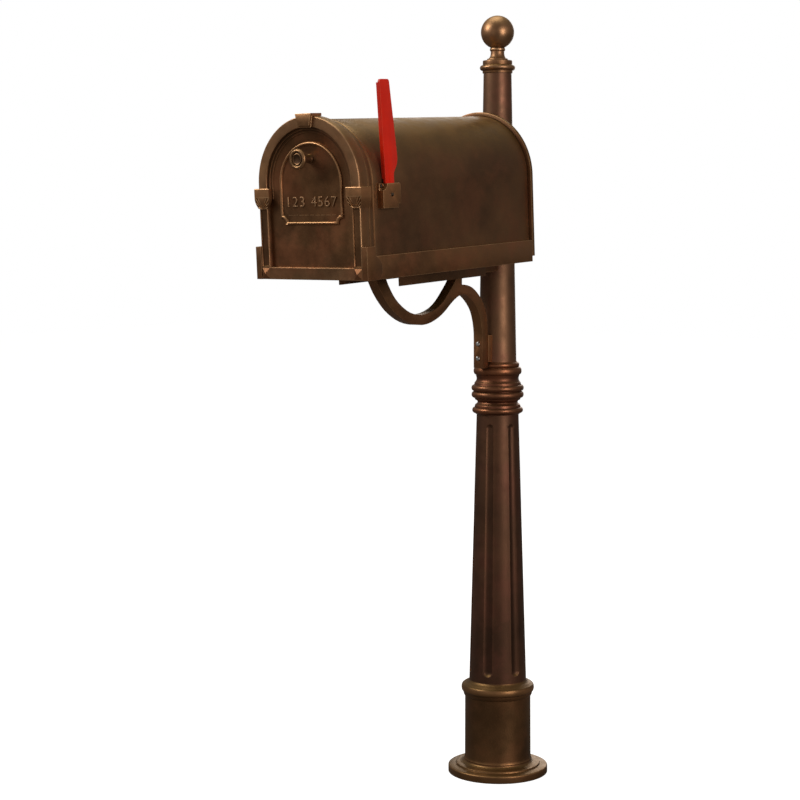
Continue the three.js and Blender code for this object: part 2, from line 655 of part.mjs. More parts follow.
function keystone() {
  const outline = new THREE.Shape();
  outline.moveTo(-KEYSTONE.halfBottom, KEYSTONE.bottom);
  outline.lineTo(KEYSTONE.halfBottom, KEYSTONE.bottom);
  outline.lineTo(KEYSTONE.halfTop, KEYSTONE.top);
  outline.lineTo(-KEYSTONE.halfTop, KEYSTONE.top);
  outline.closePath();
  const wedge = frontOutline(outline, [KEYSTONE.front, DOOR_DEPTH - 0.5]);
  return wedge.subtract(doorKeepOut());
}

/** Capital over a pilaster: a square block on a bowl that draws in to the pilaster; side is 1 or -1. */
function capital(side) {
  const { inner, outer, top, block: lip, foot, front } = CAPITAL;
  const waist = { inner: inner + 9, outer: outer - 6.5, front: front + 3.9 };
  const outline = new THREE.Shape();
  outline.moveTo(side * inner, top);
  outline.lineTo(side * inner, lip);
  outline.quadraticCurveTo(side * inner, lip - 10, side * waist.inner, foot);
  outline.lineTo(side * waist.outer, foot);
  outline.quadraticCurveTo(side * outer, lip - 10, side * outer, lip);
  outline.lineTo(side * outer, top);
  outline.closePath();
  const profile = new THREE.Shape();
  profile.moveTo(front, top);
  profile.lineTo(front, lip);
  profile.quadraticCurveTo(front, lip - 10, waist.front, foot);
  profile.lineTo(DOOR_DEPTH + 0.5, foot);
  profile.lineTo(DOOR_DEPTH + 0.5, top);
  profile.closePath();
  const across = side > 0 ? [inner, outer] : [-outer, -inner];
  const bowl = sideOutline(profile, across);
  return frontOutline(outline, [front, DOOR_DEPTH + 0.5]).intersect(bowl).subtract(doorKeepOut());
}

/** Outline of the plaque: an arch whose two lower corners are cut by inward quarter rounds. */
function plaqueOutline(inset) {
  const half = PLAQUE_HALF_WIDTH - inset;
  const bottom = PLAQUE_BOTTOM + inset;
  const notch = PLAQUE_NOTCH;
  const shape = new THREE.Shape();
  shape.moveTo(-half + notch, bottom);
  shape.lineTo(half - notch, bottom);
  shape.absarc(half, bottom, notch, Math.PI, Math.PI / 2, true);
  shape.lineTo(half, DOOR_SPRING);
  shape.absarc(0, DOOR_SPRING, half, 0, Math.PI, false);
  shape.lineTo(-half, bottom + notch);
  shape.absarc(-half, bottom, notch, Math.PI / 2, 0, true);
  shape.closePath();
  return shape;
}

function plaqueFrame() {
  const depths = [PANEL_FRONT - GAP - 3, PANEL_FRONT - GAP];
  const inside = frontOutline(plaqueOutline(PLAQUE_BEAD), [depths[0] - CUT, depths[1] + CUT]);
  return frontOutline(plaqueOutline(0), depths).subtract(inside);
}

function doorKnob() {
  const face = -28.5;
  return turnedAlongY([
    [0, face + 2], [11, face + 2], [12.5, face], [16, face], [KNOB_RADIUS, face + 3],
    [KNOB_RADIUS, face + 6.5], [16, face + 9.5], [9, face + 11], [7.5, face + 14],
    [7.5, PANEL_FRONT - 3], [8.5, PANEL_FRONT - GAP], [2.8, PANEL_FRONT - GAP], [2.8, -10], [0, -10],
  ], [0, KNOB_HEIGHT], 24);
}

function knobScrew() {
  return turnedAlongY([
    [0, -8], [2.5, -8], [2.5, PANEL_BACK + GAP], [5, PANEL_BACK + GAP],
    [4.6, PANEL_BACK + 2], [0, PANEL_BACK + 2.8],
  ], [0, KNOB_HEIGHT], PIN_SIDES);
}

/** Bent tongue on the inside of the door that slides under the spring clip. */
function doorCatch() {
  const back = PANEL_BACK + GAP;
  const plate = block([-10, 10], [back, back + 2], [266, 282]);
  return plate.add(block([-10, 10], [back, 34], [279, 282]));
}

// ---- Flag --------------------------------------------------------------------------

/** Bracket that the flag turns in: two cheeks joined below and in front of the flag's foot. */
function flagBracket() {
  const { inner, outer, front, rear, bottom, top } = BRACKET;
  const corner = 5;
  const notchRadius = 12.5;
  const outline = new THREE.Shape();
  outline.moveTo(front, bottom);
  outline.lineTo(rear - 7, bottom);
  outline.lineTo(rear - 7, bottom + 7.5);
  outline.lineTo(rear, bottom + 7.5);
  outline.lineTo(rear, top - corner);
  outline.absarc(rear - corner, top - corner, corner, 0, Math.PI / 2, false);
  outline.lineTo(front, top);
  outline.closePath();
  const reach = FLAG_END_RADIUS + 1;
  const slot = block([FLAG_INNER - 0.5, FLAG_OUTER + 0.5], [FLAG_PIVOT.y - reach, rear + CUT],
    [FLAG_PIVOT.z - reach, top + CUT]);
  const notch = rod('x', notchRadius, [FLAG_INNER - 0.5, outer + CUT], [0, front, top], notchRadius, 24);
  const rivetHole = rod('x', FLAG_RIVET_RADIUS + GAP, [inner - CUT, outer + CUT],
    [0, FLAG_PIVOT.y, FLAG_PIVOT.z]);
  const screwHole = rod('x', 2.3, [inner - CUT, outer], [0, FLAG_SCREW.y, FLAG_SCREW.z]);
  return sideOutline(outline, [inner, outer]).subtract(slot).subtract(notch)
    .subtract(rivetHole).subtract(screwHole);
}

function turnedAlongX(profile, { y, z }) {
  const points = profile.map(([radius, x]) => new THREE.Vector2(radius, x));
  return solid(new THREE.LatheGeometry(points, PIN_SIDES).rotateZ(-Math.PI / 2).translate(0, y, z));
}

function flagRivet() {
  const shank = FLAG_RIVET_RADIUS;
  return turnedAlongX([
    [0, BRACKET.inner + GAP], [shank, BRACKET.inner + GAP], [shank, BRACKET.outer + GAP],
    [3.8, BRACKET.outer + GAP], [3.2, BRACKET.outer + 1.4], [0, BRACKET.outer + 2],
  ], FLAG_PIVOT);
}

function flagBracketScrew() {
  const seat = FLAG_INNER - 0.5 + GAP;
  return turnedAlongX([
    [0, 113], [1.2, 113], [2, 116], [2, seat], [4, seat], [3.6, seat + 1.8], [0, seat + 2.6],
  ], FLAG_SCREW);
}

/** Flag arm: a round foot on the rivet, a narrow neck and a blade with its front edge turned in. */
function flagBlade() {
  const { y, z } = FLAG_PIVOT;
  const radius = FLAG_END_RADIUS;
  const corner = 6;
  const top = 362;
  const tip = 59.8;
  const outline = new THREE.Shape();
  outline.moveTo(y - radius, z);
  outline.absarc(y, z, radius, Math.PI, 2 * Math.PI, false);
  outline.lineTo(y + radius, 188);
  outline.quadraticCurveTo(93, 196, 99, 203);
  outline.quadraticCurveTo(103.5, 209, 103, 224);
  outline.quadraticCurveTo(99, 262, 87.5, top - corner);
  outline.quadraticCurveTo(87, top, 87.5 - corner, top);
  outline.lineTo(tip + corner, top);
  outline.quadraticCurveTo(tip, top, tip, top - corner);
  outline.closePath();
  const hole = rod('x', FLAG_RIVET_RADIUS + GAP, [FLAG_INNER - CUT, FLAG_OUTER + CUT], [0, y, z]);
  const frontAt = (height) => y - radius + ((tip - y + radius) * (height - z)) / (top - corner - z);
  const flange = new THREE.Shape();
  flange.moveTo(frontAt(FLAG_FLANGE.bottom), FLAG_FLANGE.bottom);
  flange.lineTo(frontAt(FLAG_FLANGE.bottom) + FLAG_FLANGE.wall, FLAG_FLANGE.bottom);
  flange.lineTo(frontAt(FLAG_FLANGE.top) + FLAG_FLANGE.wall, FLAG_FLANGE.top);
  flange.lineTo(frontAt(FLAG_FLANGE.top), FLAG_FLANGE.top);
  flange.closePath();
  const lip = sideOutline(flange, [FLAG_FLANGE.inner, FLAG_INNER + 1]);
  return sideOutline(outline, [FLAG_INNER, FLAG_OUTER]).add(lip).subtract(hole);
}

// ---- Assembly ----------------------------------------------------------------------

const post = new THREE.Group();
post.add(
  piece('base_plate', basePlate(), 'steel'),
  piece('base_flange', baseFlange(), 'patina'),
  piece('base_collar', baseCollar(), 'patina'),
  piece('fluted_shaft', flutedShaft(), 'patina'),
  piece('ring_collar', ringCollar(), 'redBronze'),
  piece('upper_shaft', upperShaft(), 'patina'),
  piece('core_pipe', corePipe(), 'steel'),
  piece('pipe_plug', pipePlug(), 'steel'),
  piece('top_cap', topCap(), 'casting'),
  piece('ball_finial', ballFinial(), 'casting'),
  piece('finial_stud', finialStud(), 'steel'),
);

const bracket = new THREE.Group();
bracket.add(
  piece('scroll_bracket', scrollBracket(), 'patina'),
  piece('saddle_plate', saddlePlate(), 'rubbed'),
  piece('mount_arm', mountArm(), 'patina'),
);
['lower', 'upper'].forEach((place, k) => {
  bracket.add(piece(`leg_screw_${place}`, legScrew(LEG_SCREW_HEIGHTS[k]), 'steel'));
});

const mailbox = new THREE.Group();
mailbox.position.set(0, BOX_FRONT, BOX_BOTTOM);
mailbox.rotation.x = BOX_PITCH;
mailbox.add(
  piece('mount_channel', mountChannel(), 'patina'),
  piece('floor_panel', floorPanel(), 'patina'),
  piece('box_shell', boxShell(), 'patina'),
  piece('front_hood', frontHood(), 'casting'),
  piece('rear_plate', rearPlate(), 'casting'),
  piece('catch_clip', catchClip(), 'steel'),
  piece('flag_bracket', flagBracket(), 'rubbed'),
  piece('flag_rivet', flagRivet(), 'steel'),
  piece('flag_bracket_screw', flagBracketScrew(), 'steel'),
);
for (const [end, y] of Object.entries(FLOOR_SCREW_DEPTHS)) {
  mailbox.add(piece(`floor_screw_${end}_left`, floorScrew(-FLOOR_SCREW_ACROSS, y), 'steel'));
  mailbox.add(piece(`floor_screw_${end}_right`, floorScrew(FLOOR_SCREW_ACROSS, y), 'steel'));
}

const door = new THREE.Group();
door.add(
  piece('door_panel', doorPanel(), 'casting'),
  piece('keystone', keystone(), 'rubbed'),
  piece('plaque_frame', plaqueFrame(), 'rubbed'),
  piece('door_knob', doorKnob(), 'rubbed'),
  piece('knob_screw', knobScrew(), 'steel'),
  piece('door_catch', doorCatch(), 'steel'),
);
for (const [name, side] of [['left', -1], ['right', 1]]) {
  mailbox.add(piece(`side_rail_${name}`, sideRail(side), 'patina'));
  mailbox.add(piece(`hinge_lug_${name}`, hingeLug(side), 'casting'));
  mailbox.add(piece(`hinge_pin_${name}`, hingePin(side), 'steel'));
  door.add(piece(`capital_${name}`, capital(side), 'rubbed'));
}

const flag = new THREE.Group();
flag.add(piece('flag_blade', flagBlade(), 'flagRed'));
mailbox.add(door, flag);

const model = new THREE.Group();
model.add(post, bracket, mailbox);

export default model;
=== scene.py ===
"""Kerbside mailbox on an ornamental post: the looks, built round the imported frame.

Pieces are drawn in millimetres and placed in metres. Post pieces use the row frame. Mailbox pieces use the
mailbox's own frame: x across the door, y back from the door's face, z up from the underside.
"""

import json
import math

import bmesh
import bpy
from mathutils import Matrix, Vector

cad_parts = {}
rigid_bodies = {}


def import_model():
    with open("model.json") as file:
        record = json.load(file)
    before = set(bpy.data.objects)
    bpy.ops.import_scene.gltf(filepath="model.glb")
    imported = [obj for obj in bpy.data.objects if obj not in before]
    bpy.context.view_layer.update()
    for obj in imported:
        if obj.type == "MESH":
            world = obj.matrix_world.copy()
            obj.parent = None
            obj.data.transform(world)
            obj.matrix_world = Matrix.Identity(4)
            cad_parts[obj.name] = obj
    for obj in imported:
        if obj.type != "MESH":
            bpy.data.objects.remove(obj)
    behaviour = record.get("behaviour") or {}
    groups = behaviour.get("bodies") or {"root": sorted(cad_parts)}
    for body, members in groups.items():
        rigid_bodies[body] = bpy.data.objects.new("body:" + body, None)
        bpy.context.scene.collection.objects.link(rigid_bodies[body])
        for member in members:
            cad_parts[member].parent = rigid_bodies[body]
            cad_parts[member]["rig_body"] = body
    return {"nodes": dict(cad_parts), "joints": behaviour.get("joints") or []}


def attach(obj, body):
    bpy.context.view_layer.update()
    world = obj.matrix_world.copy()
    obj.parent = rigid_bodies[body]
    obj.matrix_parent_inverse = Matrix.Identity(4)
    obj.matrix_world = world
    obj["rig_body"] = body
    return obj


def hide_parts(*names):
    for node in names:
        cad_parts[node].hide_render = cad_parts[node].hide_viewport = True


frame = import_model()
bpy.context.scene.view_settings.view_transform = "Standard"
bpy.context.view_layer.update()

MM = 0.001
FIXED, DOOR = "post_and_box", "door"

# ---- Camera, stage and light ----------------------------------------------------------

CAMERA_AZIMUTH = math.radians(35.91)     # round the post from -Y towards +X
CAMERA_DISTANCE = 4.039
CAMERA_HEIGHT = 1.1617
CAMERA_YAW = math.radians(38.82)
CAMERA_PITCH = math.radians(5.19)
CAMERA_ROLL = math.radians(-0.28)
CAMERA_LENS = 86.77


def add_camera():
    data = bpy.data.cameras.new("camera")
    data.sensor_width = 36
    data.lens = CAMERA_LENS
    data.clip_end = 200
    camera = bpy.data.objects.new("camera", data)
    bpy.context.scene.collection.objects.link(camera)
    spin = Matrix.Rotation(CAMERA_YAW, 4, "Z")
    tilt = Matrix.Rotation(math.pi / 2 - CAMERA_PITCH, 4, "X")
    roll = Matrix.Rotation(CAMERA_ROLL, 4, "Z")
    where = Vector((
        CAMERA_DISTANCE * math.sin(CAMERA_AZIMUTH),
        -CAMERA_DISTANCE * math.cos(CAMERA_AZIMUTH),
        CAMERA_HEIGHT,
    ))
    camera.matrix_world = Matrix.Translation(where) @ spin @ tilt @ roll
    bpy.context.scene.camera = camera


def add_area_light(name, where, target, size, power, colour):
    data = bpy.data.lights.new(name, "AREA")
    data.shape = "RECTANGLE"
    data.size, data.size_y = size
    data.energy = power
    data.color = colour
    light = bpy.data.objects.new(name, data)
    bpy.context.scene.collection.objects.link(light)
    aim = Vector(target) - Vector(where)
    light.location = where
    light.rotation_euler = aim.to_track_quat("-Z", "Y").to_euler()


def add_lights():
    box_centre = (0, -0.3, 1.2)
    add_area_light("key", (-2.1, -2.4, 3.2), box_centre, (1.6, 1.6), 80, (1.0, 0.96, 0.9))
    add_area_light("side", (3.4, -1.0, 1.7), (0, -0.3, 1.1), (1.2, 2.0), 62, (1.0, 0.9, 0.82))
    add_area_light("top", (-0.5, 0.2, 3.6), box_centre, (1.8, 1.8), 24, (1.0, 0.96, 0.88))
    add_area_light("front", (0.6, -3.8, 1.0), (0, -0.2, 0.8), (1.4, 2.6), 5, (1.0, 0.9, 0.8))
    add_area_light("back", (-1.7, 3.2, 1.7), (0, -0.1, 0.9), (1.8, 2.6), 26, (1.0, 0.94, 0.88))


def add_world():
    """A white studio wall to the eye, with a dimmer, even light on the object."""
    world = bpy.data.worlds.new("studio")
    world.use_nodes = True
    nodes, links = world.node_tree.nodes, world.node_tree.links
    nodes.clear()
    output = nodes.new("ShaderNodeOutputWorld")
    mix = nodes.new("ShaderNodeMixShader")
    path = nodes.new("ShaderNodeLightPath")
    seen = nodes.new("ShaderNodeBackground")
    felt = nodes.new("ShaderNodeBackground")
    seen.inputs["Color"].default_value = (1, 1, 1, 1)
    seen.inputs["Strength"].default_value = 1.0
    felt.inputs["Color"].default_value = (1, 0.93, 0.86, 1)
    felt.inputs["Strength"].default_value = 0.2
    links.new(path.outputs["Is Camera Ray"], mix.inputs["Fac"])
    links.new(felt.outputs[0], mix.inputs[1])
    links.new(seen.outputs[0], mix.inputs[2])
    links.new(mix.outputs[0], output.inputs["Surface"])
    bpy.context.scene.world = world


def add_floor():
    """A pale floor that melts into the studio wall, with only a soft shadow under the post."""
    half, drop = 14.0, -0.0005
    mesh = bpy.data.meshes.new("floor")
    corners = [(-half, -half, drop), (half, -half, drop), (half, half, drop), (-half, half, drop)]
    mesh.from_pydata(corners, [], [(0, 1, 2, 3)])
    floor = bpy.data.objects.new("floor", mesh)
    bpy.context.scene.collection.objects.link(floor)
    material = bpy.data.materials.new("pale_floor")
    material.use_nodes = True
    nodes, links = material.node_tree.nodes, material.node_tree.links
    nodes.clear()
    output = nodes.new("ShaderNodeOutputMaterial")
    mix = nodes.new("ShaderNodeMixShader")
    both = nodes.new("ShaderNodeAddShader")
    path = nodes.new("ShaderNodeLightPath")
    dim = nodes.new("ShaderNodeBsdfDiffuse")
    pale = nodes.new("ShaderNodeBsdfDiffuse")
    glow = nodes.new("ShaderNodeEmission")
    dim.inputs["Color"].default_value = (0.16, 0.15, 0.14, 1)
    pale.inputs["Color"].default_value = (0.4, 0.4, 0.4, 1)
    glow.inputs["Strength"].default_value = 0.93
    links.new(pale.outputs[0], both.inputs[0])
    links.new(glow.outputs[0], both.inputs[1])
    links.new(path.outputs["Is Camera Ray"], mix.inputs["Fac"])
    links.new(dim.outputs[0], mix.inputs[1])
    links.new(both.outputs[0], mix.inputs[2])
    links.new(mix.outputs[0], output.inputs["Surface"])
    mesh.materials.append(material)


# ---- Materials ------------------------------------------------------------------------


class Nodes:
    """Short calls for building one material's node tree."""

    def __init__(self, name):
        self.material = bpy.data.materials.new(name)
        self.material.use_nodes = True
        self.tree = self.material.node_tree
        self.shader = self.tree.nodes["Principled BSDF"]
        coordinates = self.add("ShaderNodeTexCoord")
        self.place = coordinates.outputs["Object"]
        self.turned = coordinates.outputs["Normal"]

    def add(self, kind, **settings):
        node = self.tree.nodes.new(kind)
        for key, value in settings.items():
            setattr(node, key, value)
        return node

    def link(self, source, target):
        self.tree.links.new(source, target)

    def noise(self, scale, detail=4.0, roughness=0.55, stretch=None):
        texture = self.add("ShaderNodeTexNoise")
        texture.inputs["Scale"].default_value = scale
        texture.inputs["Detail"].default_value = detail
        texture.inputs["Roughness"].default_value = roughness
        place = self.place
        if stretch:
            mapping = self.add("ShaderNodeMapping")
            mapping.inputs["Scale"].default_value = stretch
            self.link(place, mapping.inputs["Vector"])
            place = mapping.outputs["Vector"]
        self.link(place, texture.inputs["Vector"])
        return texture.outputs["Fac"]

    def ramp(self, value, low, high, to_low=0.0, to_high=1.0):
        node = self.add("ShaderNodeMapRange", interpolation_type="SMOOTHSTEP")
        node.inputs["From Min"].default_value = low
        node.inputs["From Max"].default_value = high
        node.inputs["To Min"].default_value = to_low
        node.inputs["To Max"].default_value = to_high
        self.link(value, node.inputs["Value"])
        return node.outputs["Result"]

    def math(self, operation, first, second):
        node = self.add("ShaderNodeMath", operation=operation)
        for socket, value in zip(node.inputs, (first, second)):
            if isinstance(value, (int, float)):
                socket.default_value = value
            else:
                self.link(value, socket)
        return node.outputs["Value"]

    def mix(self, share, first, second):
        node = self.add("ShaderNodeMix", data_type="RGBA")
        self.link(share, node.inputs["Factor"])
        for socket, value in ((node.inputs["A"], first), (node.inputs["B"], second)):
            if isinstance(value, tuple):
                socket.default_value = (*value, 1)
            else:
                self.link(value, socket)
        return node.outputs["Result"]

    def bump(self, height, strength, distance):
        node = self.add("ShaderNodeBump")
        node.inputs["Strength"].default_value = strength
        node.inputs["Distance"].default_value = distance
        self.link(height, node.inputs["Height"])
        return node.outputs["Normal"]


HOLLOW_SHADE = 0.3


def copper_patina(name, base, shade, warm, rubbed, painted_top_light=(0.28, 0.17, 0.045), roughness=0.4):
    """Antique copper: cloudy brown, redder in patches, greenish brown under a painted top light where it
    faces up, bright where rubbed and where a highlight is painted.

    The attribute read below says how rubbed a point is and how much painted highlight it carries. Below
    nought it is how much dark patina and painted shade is left in a hollow.
    """
    n = Nodes(name)
    clouds = n.ramp(n.noise(5.0, 3.0), 0.35, 0.68)
    patches = n.ramp(n.noise(14.0, 5.0, 0.62), 0.42, 0.66)
    streaks = n.ramp(n.noise(7.0, 3.0, 0.6, stretch=(1.0, 1.0, 0.2)), 0.4, 0.72)
    grain = n.noise(420.0, 3.0, 0.6)
    colour = n.mix(clouds, shade, base)
    colour = n.mix(n.math("MULTIPLY", patches, 0.55), colour, warm)
    colour = n.mix(n.math("MULTIPLY", streaks, 0.22), colour, shade)
    # Painted top light: surfaces that face up are mixed towards a greenish brown, as if lit from above.
    top_light_facing = n.add("ShaderNodeSeparateXYZ")
    n.link(n.turned, top_light_facing.inputs["Vector"])
    colour = n.mix(n.ramp(top_light_facing.outputs["Z"], 0.2, 0.95, 0.0, 0.7), colour, painted_top_light)
    colour = n.mix(n.ramp(grain, 0.55, 0.78, 0.0, 0.1), colour, rubbed)
    wear_and_painted_light = n.add("ShaderNodeAttribute", attribute_name="wear_and_painted_light").outputs["Fac"]
    broken = n.ramp(n.noise(34.0, 3.0, 0.6), 0.3, 0.62, 0.72, 1.0)
    # Rubbed metal and painted highlight: the rubbed colour is mixed in where the attribute rises above
    # nought.
    colour = n.mix(n.math("MULTIPLY", wear_and_painted_light, broken), colour, rubbed)
    # Dark patina and painted shade: below nought the colour goes towards a far darker tone.
    hollow = tuple(HOLLOW_SHADE * channel for channel in shade)
    colour = n.mix(n.ramp(wear_and_painted_light, -1.0, 0.0, 1.0, 0.0), colour, hollow)
    n.link(colour, n.shader.inputs["Base Color"])
    dull = n.ramp(n.noise(30.0, 5.0, 0.65), 0.3, 0.7, roughness - 0.05, roughness + 0.1)
    n.link(n.math("SUBTRACT", dull, n.math("MULTIPLY", wear_and_painted_light, 0.04)), n.shader.inputs["Roughness"])
    n.shader.inputs["Metallic"].default_value = 0.88
    skin = n.math("ADD", n.math("MULTIPLY", grain, 0.4), n.noise(60.0, 4.0, 0.6))
    n.link(n.bump(skin, 0.18, 0.0005), n.shader.inputs["Normal"])
    return n.material


def red_enamel(name):
    n = Nodes(name)
    tone = n.ramp(n.noise(18.0, 4.0), 0.35, 0.7)
    colour = n.mix(tone, (0.68, 0.016, 0.002), (0.57, 0.012, 0.002))
    wear_and_painted_light = n.add("ShaderNodeAttribute", attribute_name="wear_and_painted_light").outputs["Fac"]
    # Wear and painted highlight: the edges are mixed towards a pinkish red.
    colour = n.mix(n.math("MULTIPLY", wear_and_painted_light, 0.45), colour, (0.8, 0.16, 0.09))
    n.link(colour, n.shader.inputs["Base Color"])
    n.link(n.ramp(n.noise(40.0, 4.0), 0.3, 0.7, 0.3, 0.42), n.shader.inputs["Roughness"])
    n.shader.inputs["Specular IOR Level"].default_value = 0.3
    n.shader.inputs["Coat Weight"].default_value = 0.08
    n.shader.inputs["Coat Roughness"].default_value = 0.15
    n.link(n.bump(n.noise(160.0, 3.0), 0.12, 0.0004), n.shader.inputs["Normal"])
    return n.material


def plated_steel(name):
    n = Nodes(name)
    tone = n.ramp(n.noise(120.0, 4.0), 0.35, 0.7)
    n.link(n.mix(tone, (0.55, 0.56, 0.58), (0.74, 0.74, 0.73)), n.shader.inputs["Base Color"])
    n.link(n.ramp(n.noise(300.0, 3.0), 0.3, 0.7, 0.22, 0.4), n.shader.inputs["Roughness"])
    n.shader.inputs["Metallic"].default_value = 1.0
    n.link(n.bump(n.noise(700.0, 2.0), 0.1, 0.0002), n.shader.inputs["Normal"])
    return n.material


def dark_screw(name):
    """Blackened screw steel that only glints."""
    n = Nodes(name)
    tone = n.ramp(n.noise(200.0, 4.0), 0.35, 0.7)
    n.link(n.mix(tone, (0.1, 0.075, 0.055), (0.2, 0.16, 0.12)), n.shader.inputs["Base Color"])
    n.link(n.ramp(n.noise(350.0, 3.0), 0.3, 0.7, 0.16, 0.3), n.shader.inputs["Roughness"])
    n.shader.inputs["Metallic"].default_value = 1.0
    return n.material


MATERIALS = {
    "patina": copper_patina(
        "patina", (0.2, 0.104, 0.048), (0.12, 0.062, 0.031), (0.22, 0.092, 0.045), (0.5, 0.29, 0.14)),
    "casting": copper_patina(
        "casting", (0.26, 0.127, 0.054), (0.15, 0.074, 0.034), (0.32, 0.122, 0.056), (0.66, 0.4, 0.22)),
    "rubbed": copper_patina(
        "rubbed", (0.36, 0.172, 0.072), (0.22, 0.105, 0.046), (0.4, 0.165, 0.07), (0.72, 0.45, 0.24)),
    "red_bronze": copper_patina(
        "red_bronze", (0.18, 0.07, 0.036), (0.1, 0.04, 0.024), (0.26, 0.086, 0.036), (0.46, 0.21, 0.1),
        (0.24, 0.12, 0.05)),
    "shaft": copper_patina(
        "shaft", (0.22, 0.116, 0.063), (0.13, 0.07, 0.04), (0.23, 0.094, 0.062), (0.42, 0.22, 0.11),
        roughness=0.5),
    # Painted shade: the foot and the lower shaft take darker copies of the patina, standing in for light
    # that falls off towards the bottom of the post.
    "foot": copper_patina(
        "foot", (0.17, 0.088, 0.036), (0.1, 0.052, 0.023), (0.19, 0.083, 0.036), (0.5, 0.27, 0.12),
        (0.2, 0.12, 0.038)),
    "lower_shaft_painted_shade": copper_patina(
        "lower_shaft_painted_shade", (0.14, 0.068, 0.038), (0.085, 0.043, 0.026), (0.16, 0.062, 0.042), (0.4, 0.2, 0.1),
        roughness=0.45),
    "flag_red": red_enamel("flag_red"),
    "steel": plated_steel("steel"),
    "dark_steel": dark_screw("dark_steel"),
}

# ---- Mesh helpers ---------------------------------------------------------------------

POST_FRAME = Matrix.Scale(MM, 4)
HINGE_IN_BOX = Vector((15.0, 9.0))           # y and z of the door's hinge in the mailbox's frame
PIVOT_IN_BOX = Vector((79.6, 152.6))         # y and z of the flag's rivet there


def mailbox_frame():
    """The mailbox's frame, from the two joints that are fixed in it."""
    where = {joint["name"]: Vector(joint["pos_m"][1:]) for joint in frame["joints"]}
    hinge, pivot = where["door_hinge"], where["flag_pivot"]
    drawn = PIVOT_IN_BOX - HINGE_IN_BOX
    placed = pivot - hinge
    pitch = math.atan2(placed.y, placed.x) - math.atan2(drawn.y, drawn.x)
    turn = Matrix.Rotation(pitch, 4, "X")
    shift = Vector((0, *hinge)) - turn @ Vector((0, *HINGE_IN_BOX)) * MM
    return Matrix.Translation(shift) @ turn @ Matrix.Scale(MM, 4)


BOX_FRAME = mailbox_frame()


def own_finish(obj, slot, finish=None):
    obj.data.materials.clear()
    obj.data.materials.append(MATERIALS[finish or slot])


def creased_edges(bm, degrees):
    """The edges where two faces meet at more than an angle."""
    return [e for e in bm.edges if e.is_manifold and e.calc_face_angle(0) > math.radians(degrees)]


def smooth_but_for_creases(bm, degrees):
    bmesh.ops.recalc_face_normals(bm, faces=bm.faces)
    for face in bm.faces:
        face.smooth = True
    for edge in creased_edges(bm, degrees):
        edge.smooth = False


def linked_object(name, mesh):
    obj = bpy.data.objects.new(name, mesh)
    bpy.context.scene.collection.objects.link(obj)
    return obj


def add_piece(name, bm, place, body, slot, stands_for=(), sharp=38.0, finish=None):
    """Turns a bmesh into a piece that rides on a body, with creases kept where faces meet sharply."""
    smooth_but_for_creases(bm, sharp)
    mesh = bpy.data.meshes.new(name)
    bm.to_mesh(mesh)
    bm.free()
    mesh.transform(place)
    obj = linked_object(name, mesh)
    own_finish(obj, slot, finish)
    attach(obj, body)
    if stands_for:
        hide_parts(*stands_for)


def new_bmesh():
    bm = bmesh.new()
    bm.verts.layers.float.new("wear_and_painted_light")
    return bm


def add_vert(bm, point, wear_and_painted_light=0.0):
    vert = bm.verts.new(point)
    vert[bm.verts.layers.float["wear_and_painted_light"]] = wear_and_painted_light
    return vert


def bridge(bm, first, second):
    """Quads between two rings of vertices of the same length."""
    count = len(first)
    for k in range(count):
        after = (k + 1) % count
        bm.faces.new((first[k], first[after], second[after], second[k]))


LATHE_SIDES = 96
ON_THE_AXIS = 1e-6                           # a smaller radius than this is a point on the axis
# Steps round an arch, along its floor, and up its walls where it is lofted or swept
ARC_STEPS = 96
FLOOR_STEPS = 20
WALL_STEPS = 20
SWEEP_WALL_STEPS = 16


def fan(bm, first, second):
    """Triangles between a ring of vertices and a single one, given in either order."""
    pole, ring = (first[0], second) if len(first) == 1 else (second[0], first)
    for vert, after in zip(ring, ring[1:] + ring[:1]):
        bm.faces.new((pole, vert, after))


def upright(across, along, height):
    """Where a turned point lies when its axis is the frame's own vertical axis."""
    return across, along, height


def lathe(bm, profile, place=upright):
    """Turns (radius, height, wear) points about an axis; a closed profile ends where it starts."""
    closed = profile[0][:2] == profile[-1][:2]
    turns = [2 * math.pi * k / LATHE_SIDES for k in range(LATHE_SIDES)]
    rows = []
    for radius, height, wear_and_painted_light in (profile[:-1] if closed else profile):
        spots = [(radius * math.cos(turn), radius * math.sin(turn)) for turn in turns]
        if radius < ON_THE_AXIS:
            spots = [(0, 0)]
        rows.append([add_vert(bm, place(across, along, height), wear_and_painted_light) for across, along in spots])
    if closed:
        rows.append(rows[0])
    for first, second in zip(rows, rows[1:]):
        if len(first) == 1 or len(second) == 1:
            fan(bm, first, second)
        else:
            bridge(bm, first, second)


def bead(bottom, top, inner, outer, crest=0.7, steps=12):
    """Points of a half-round bead, rubbed bright and given a painted highlight along its crest."""
    middle, half = (bottom + top) / 2, (top - bottom) / 2
    points = []
    for k in range(steps + 1):
        turn = math.pi * k / steps
        swell = math.sin(turn)
        points.append((inner + (outer - inner) * swell, middle - half * math.cos(turn), crest * swell ** 3))
    return points


def cove(start, end, steps=8, wear_and_painted_light=0.0):
    """A quarter-round hollow from one (radius, height) to another."""
    (r0, z0), (r1, z1) = start, end
    points = []
    for k in range(steps + 1):
        turn = math.pi / 2 * k / steps
        points.append((r0 + (r1 - r0) * math.sin(turn), z1 + (z0 - z1) * math.cos(turn), wear_and_painted_light))
    return points


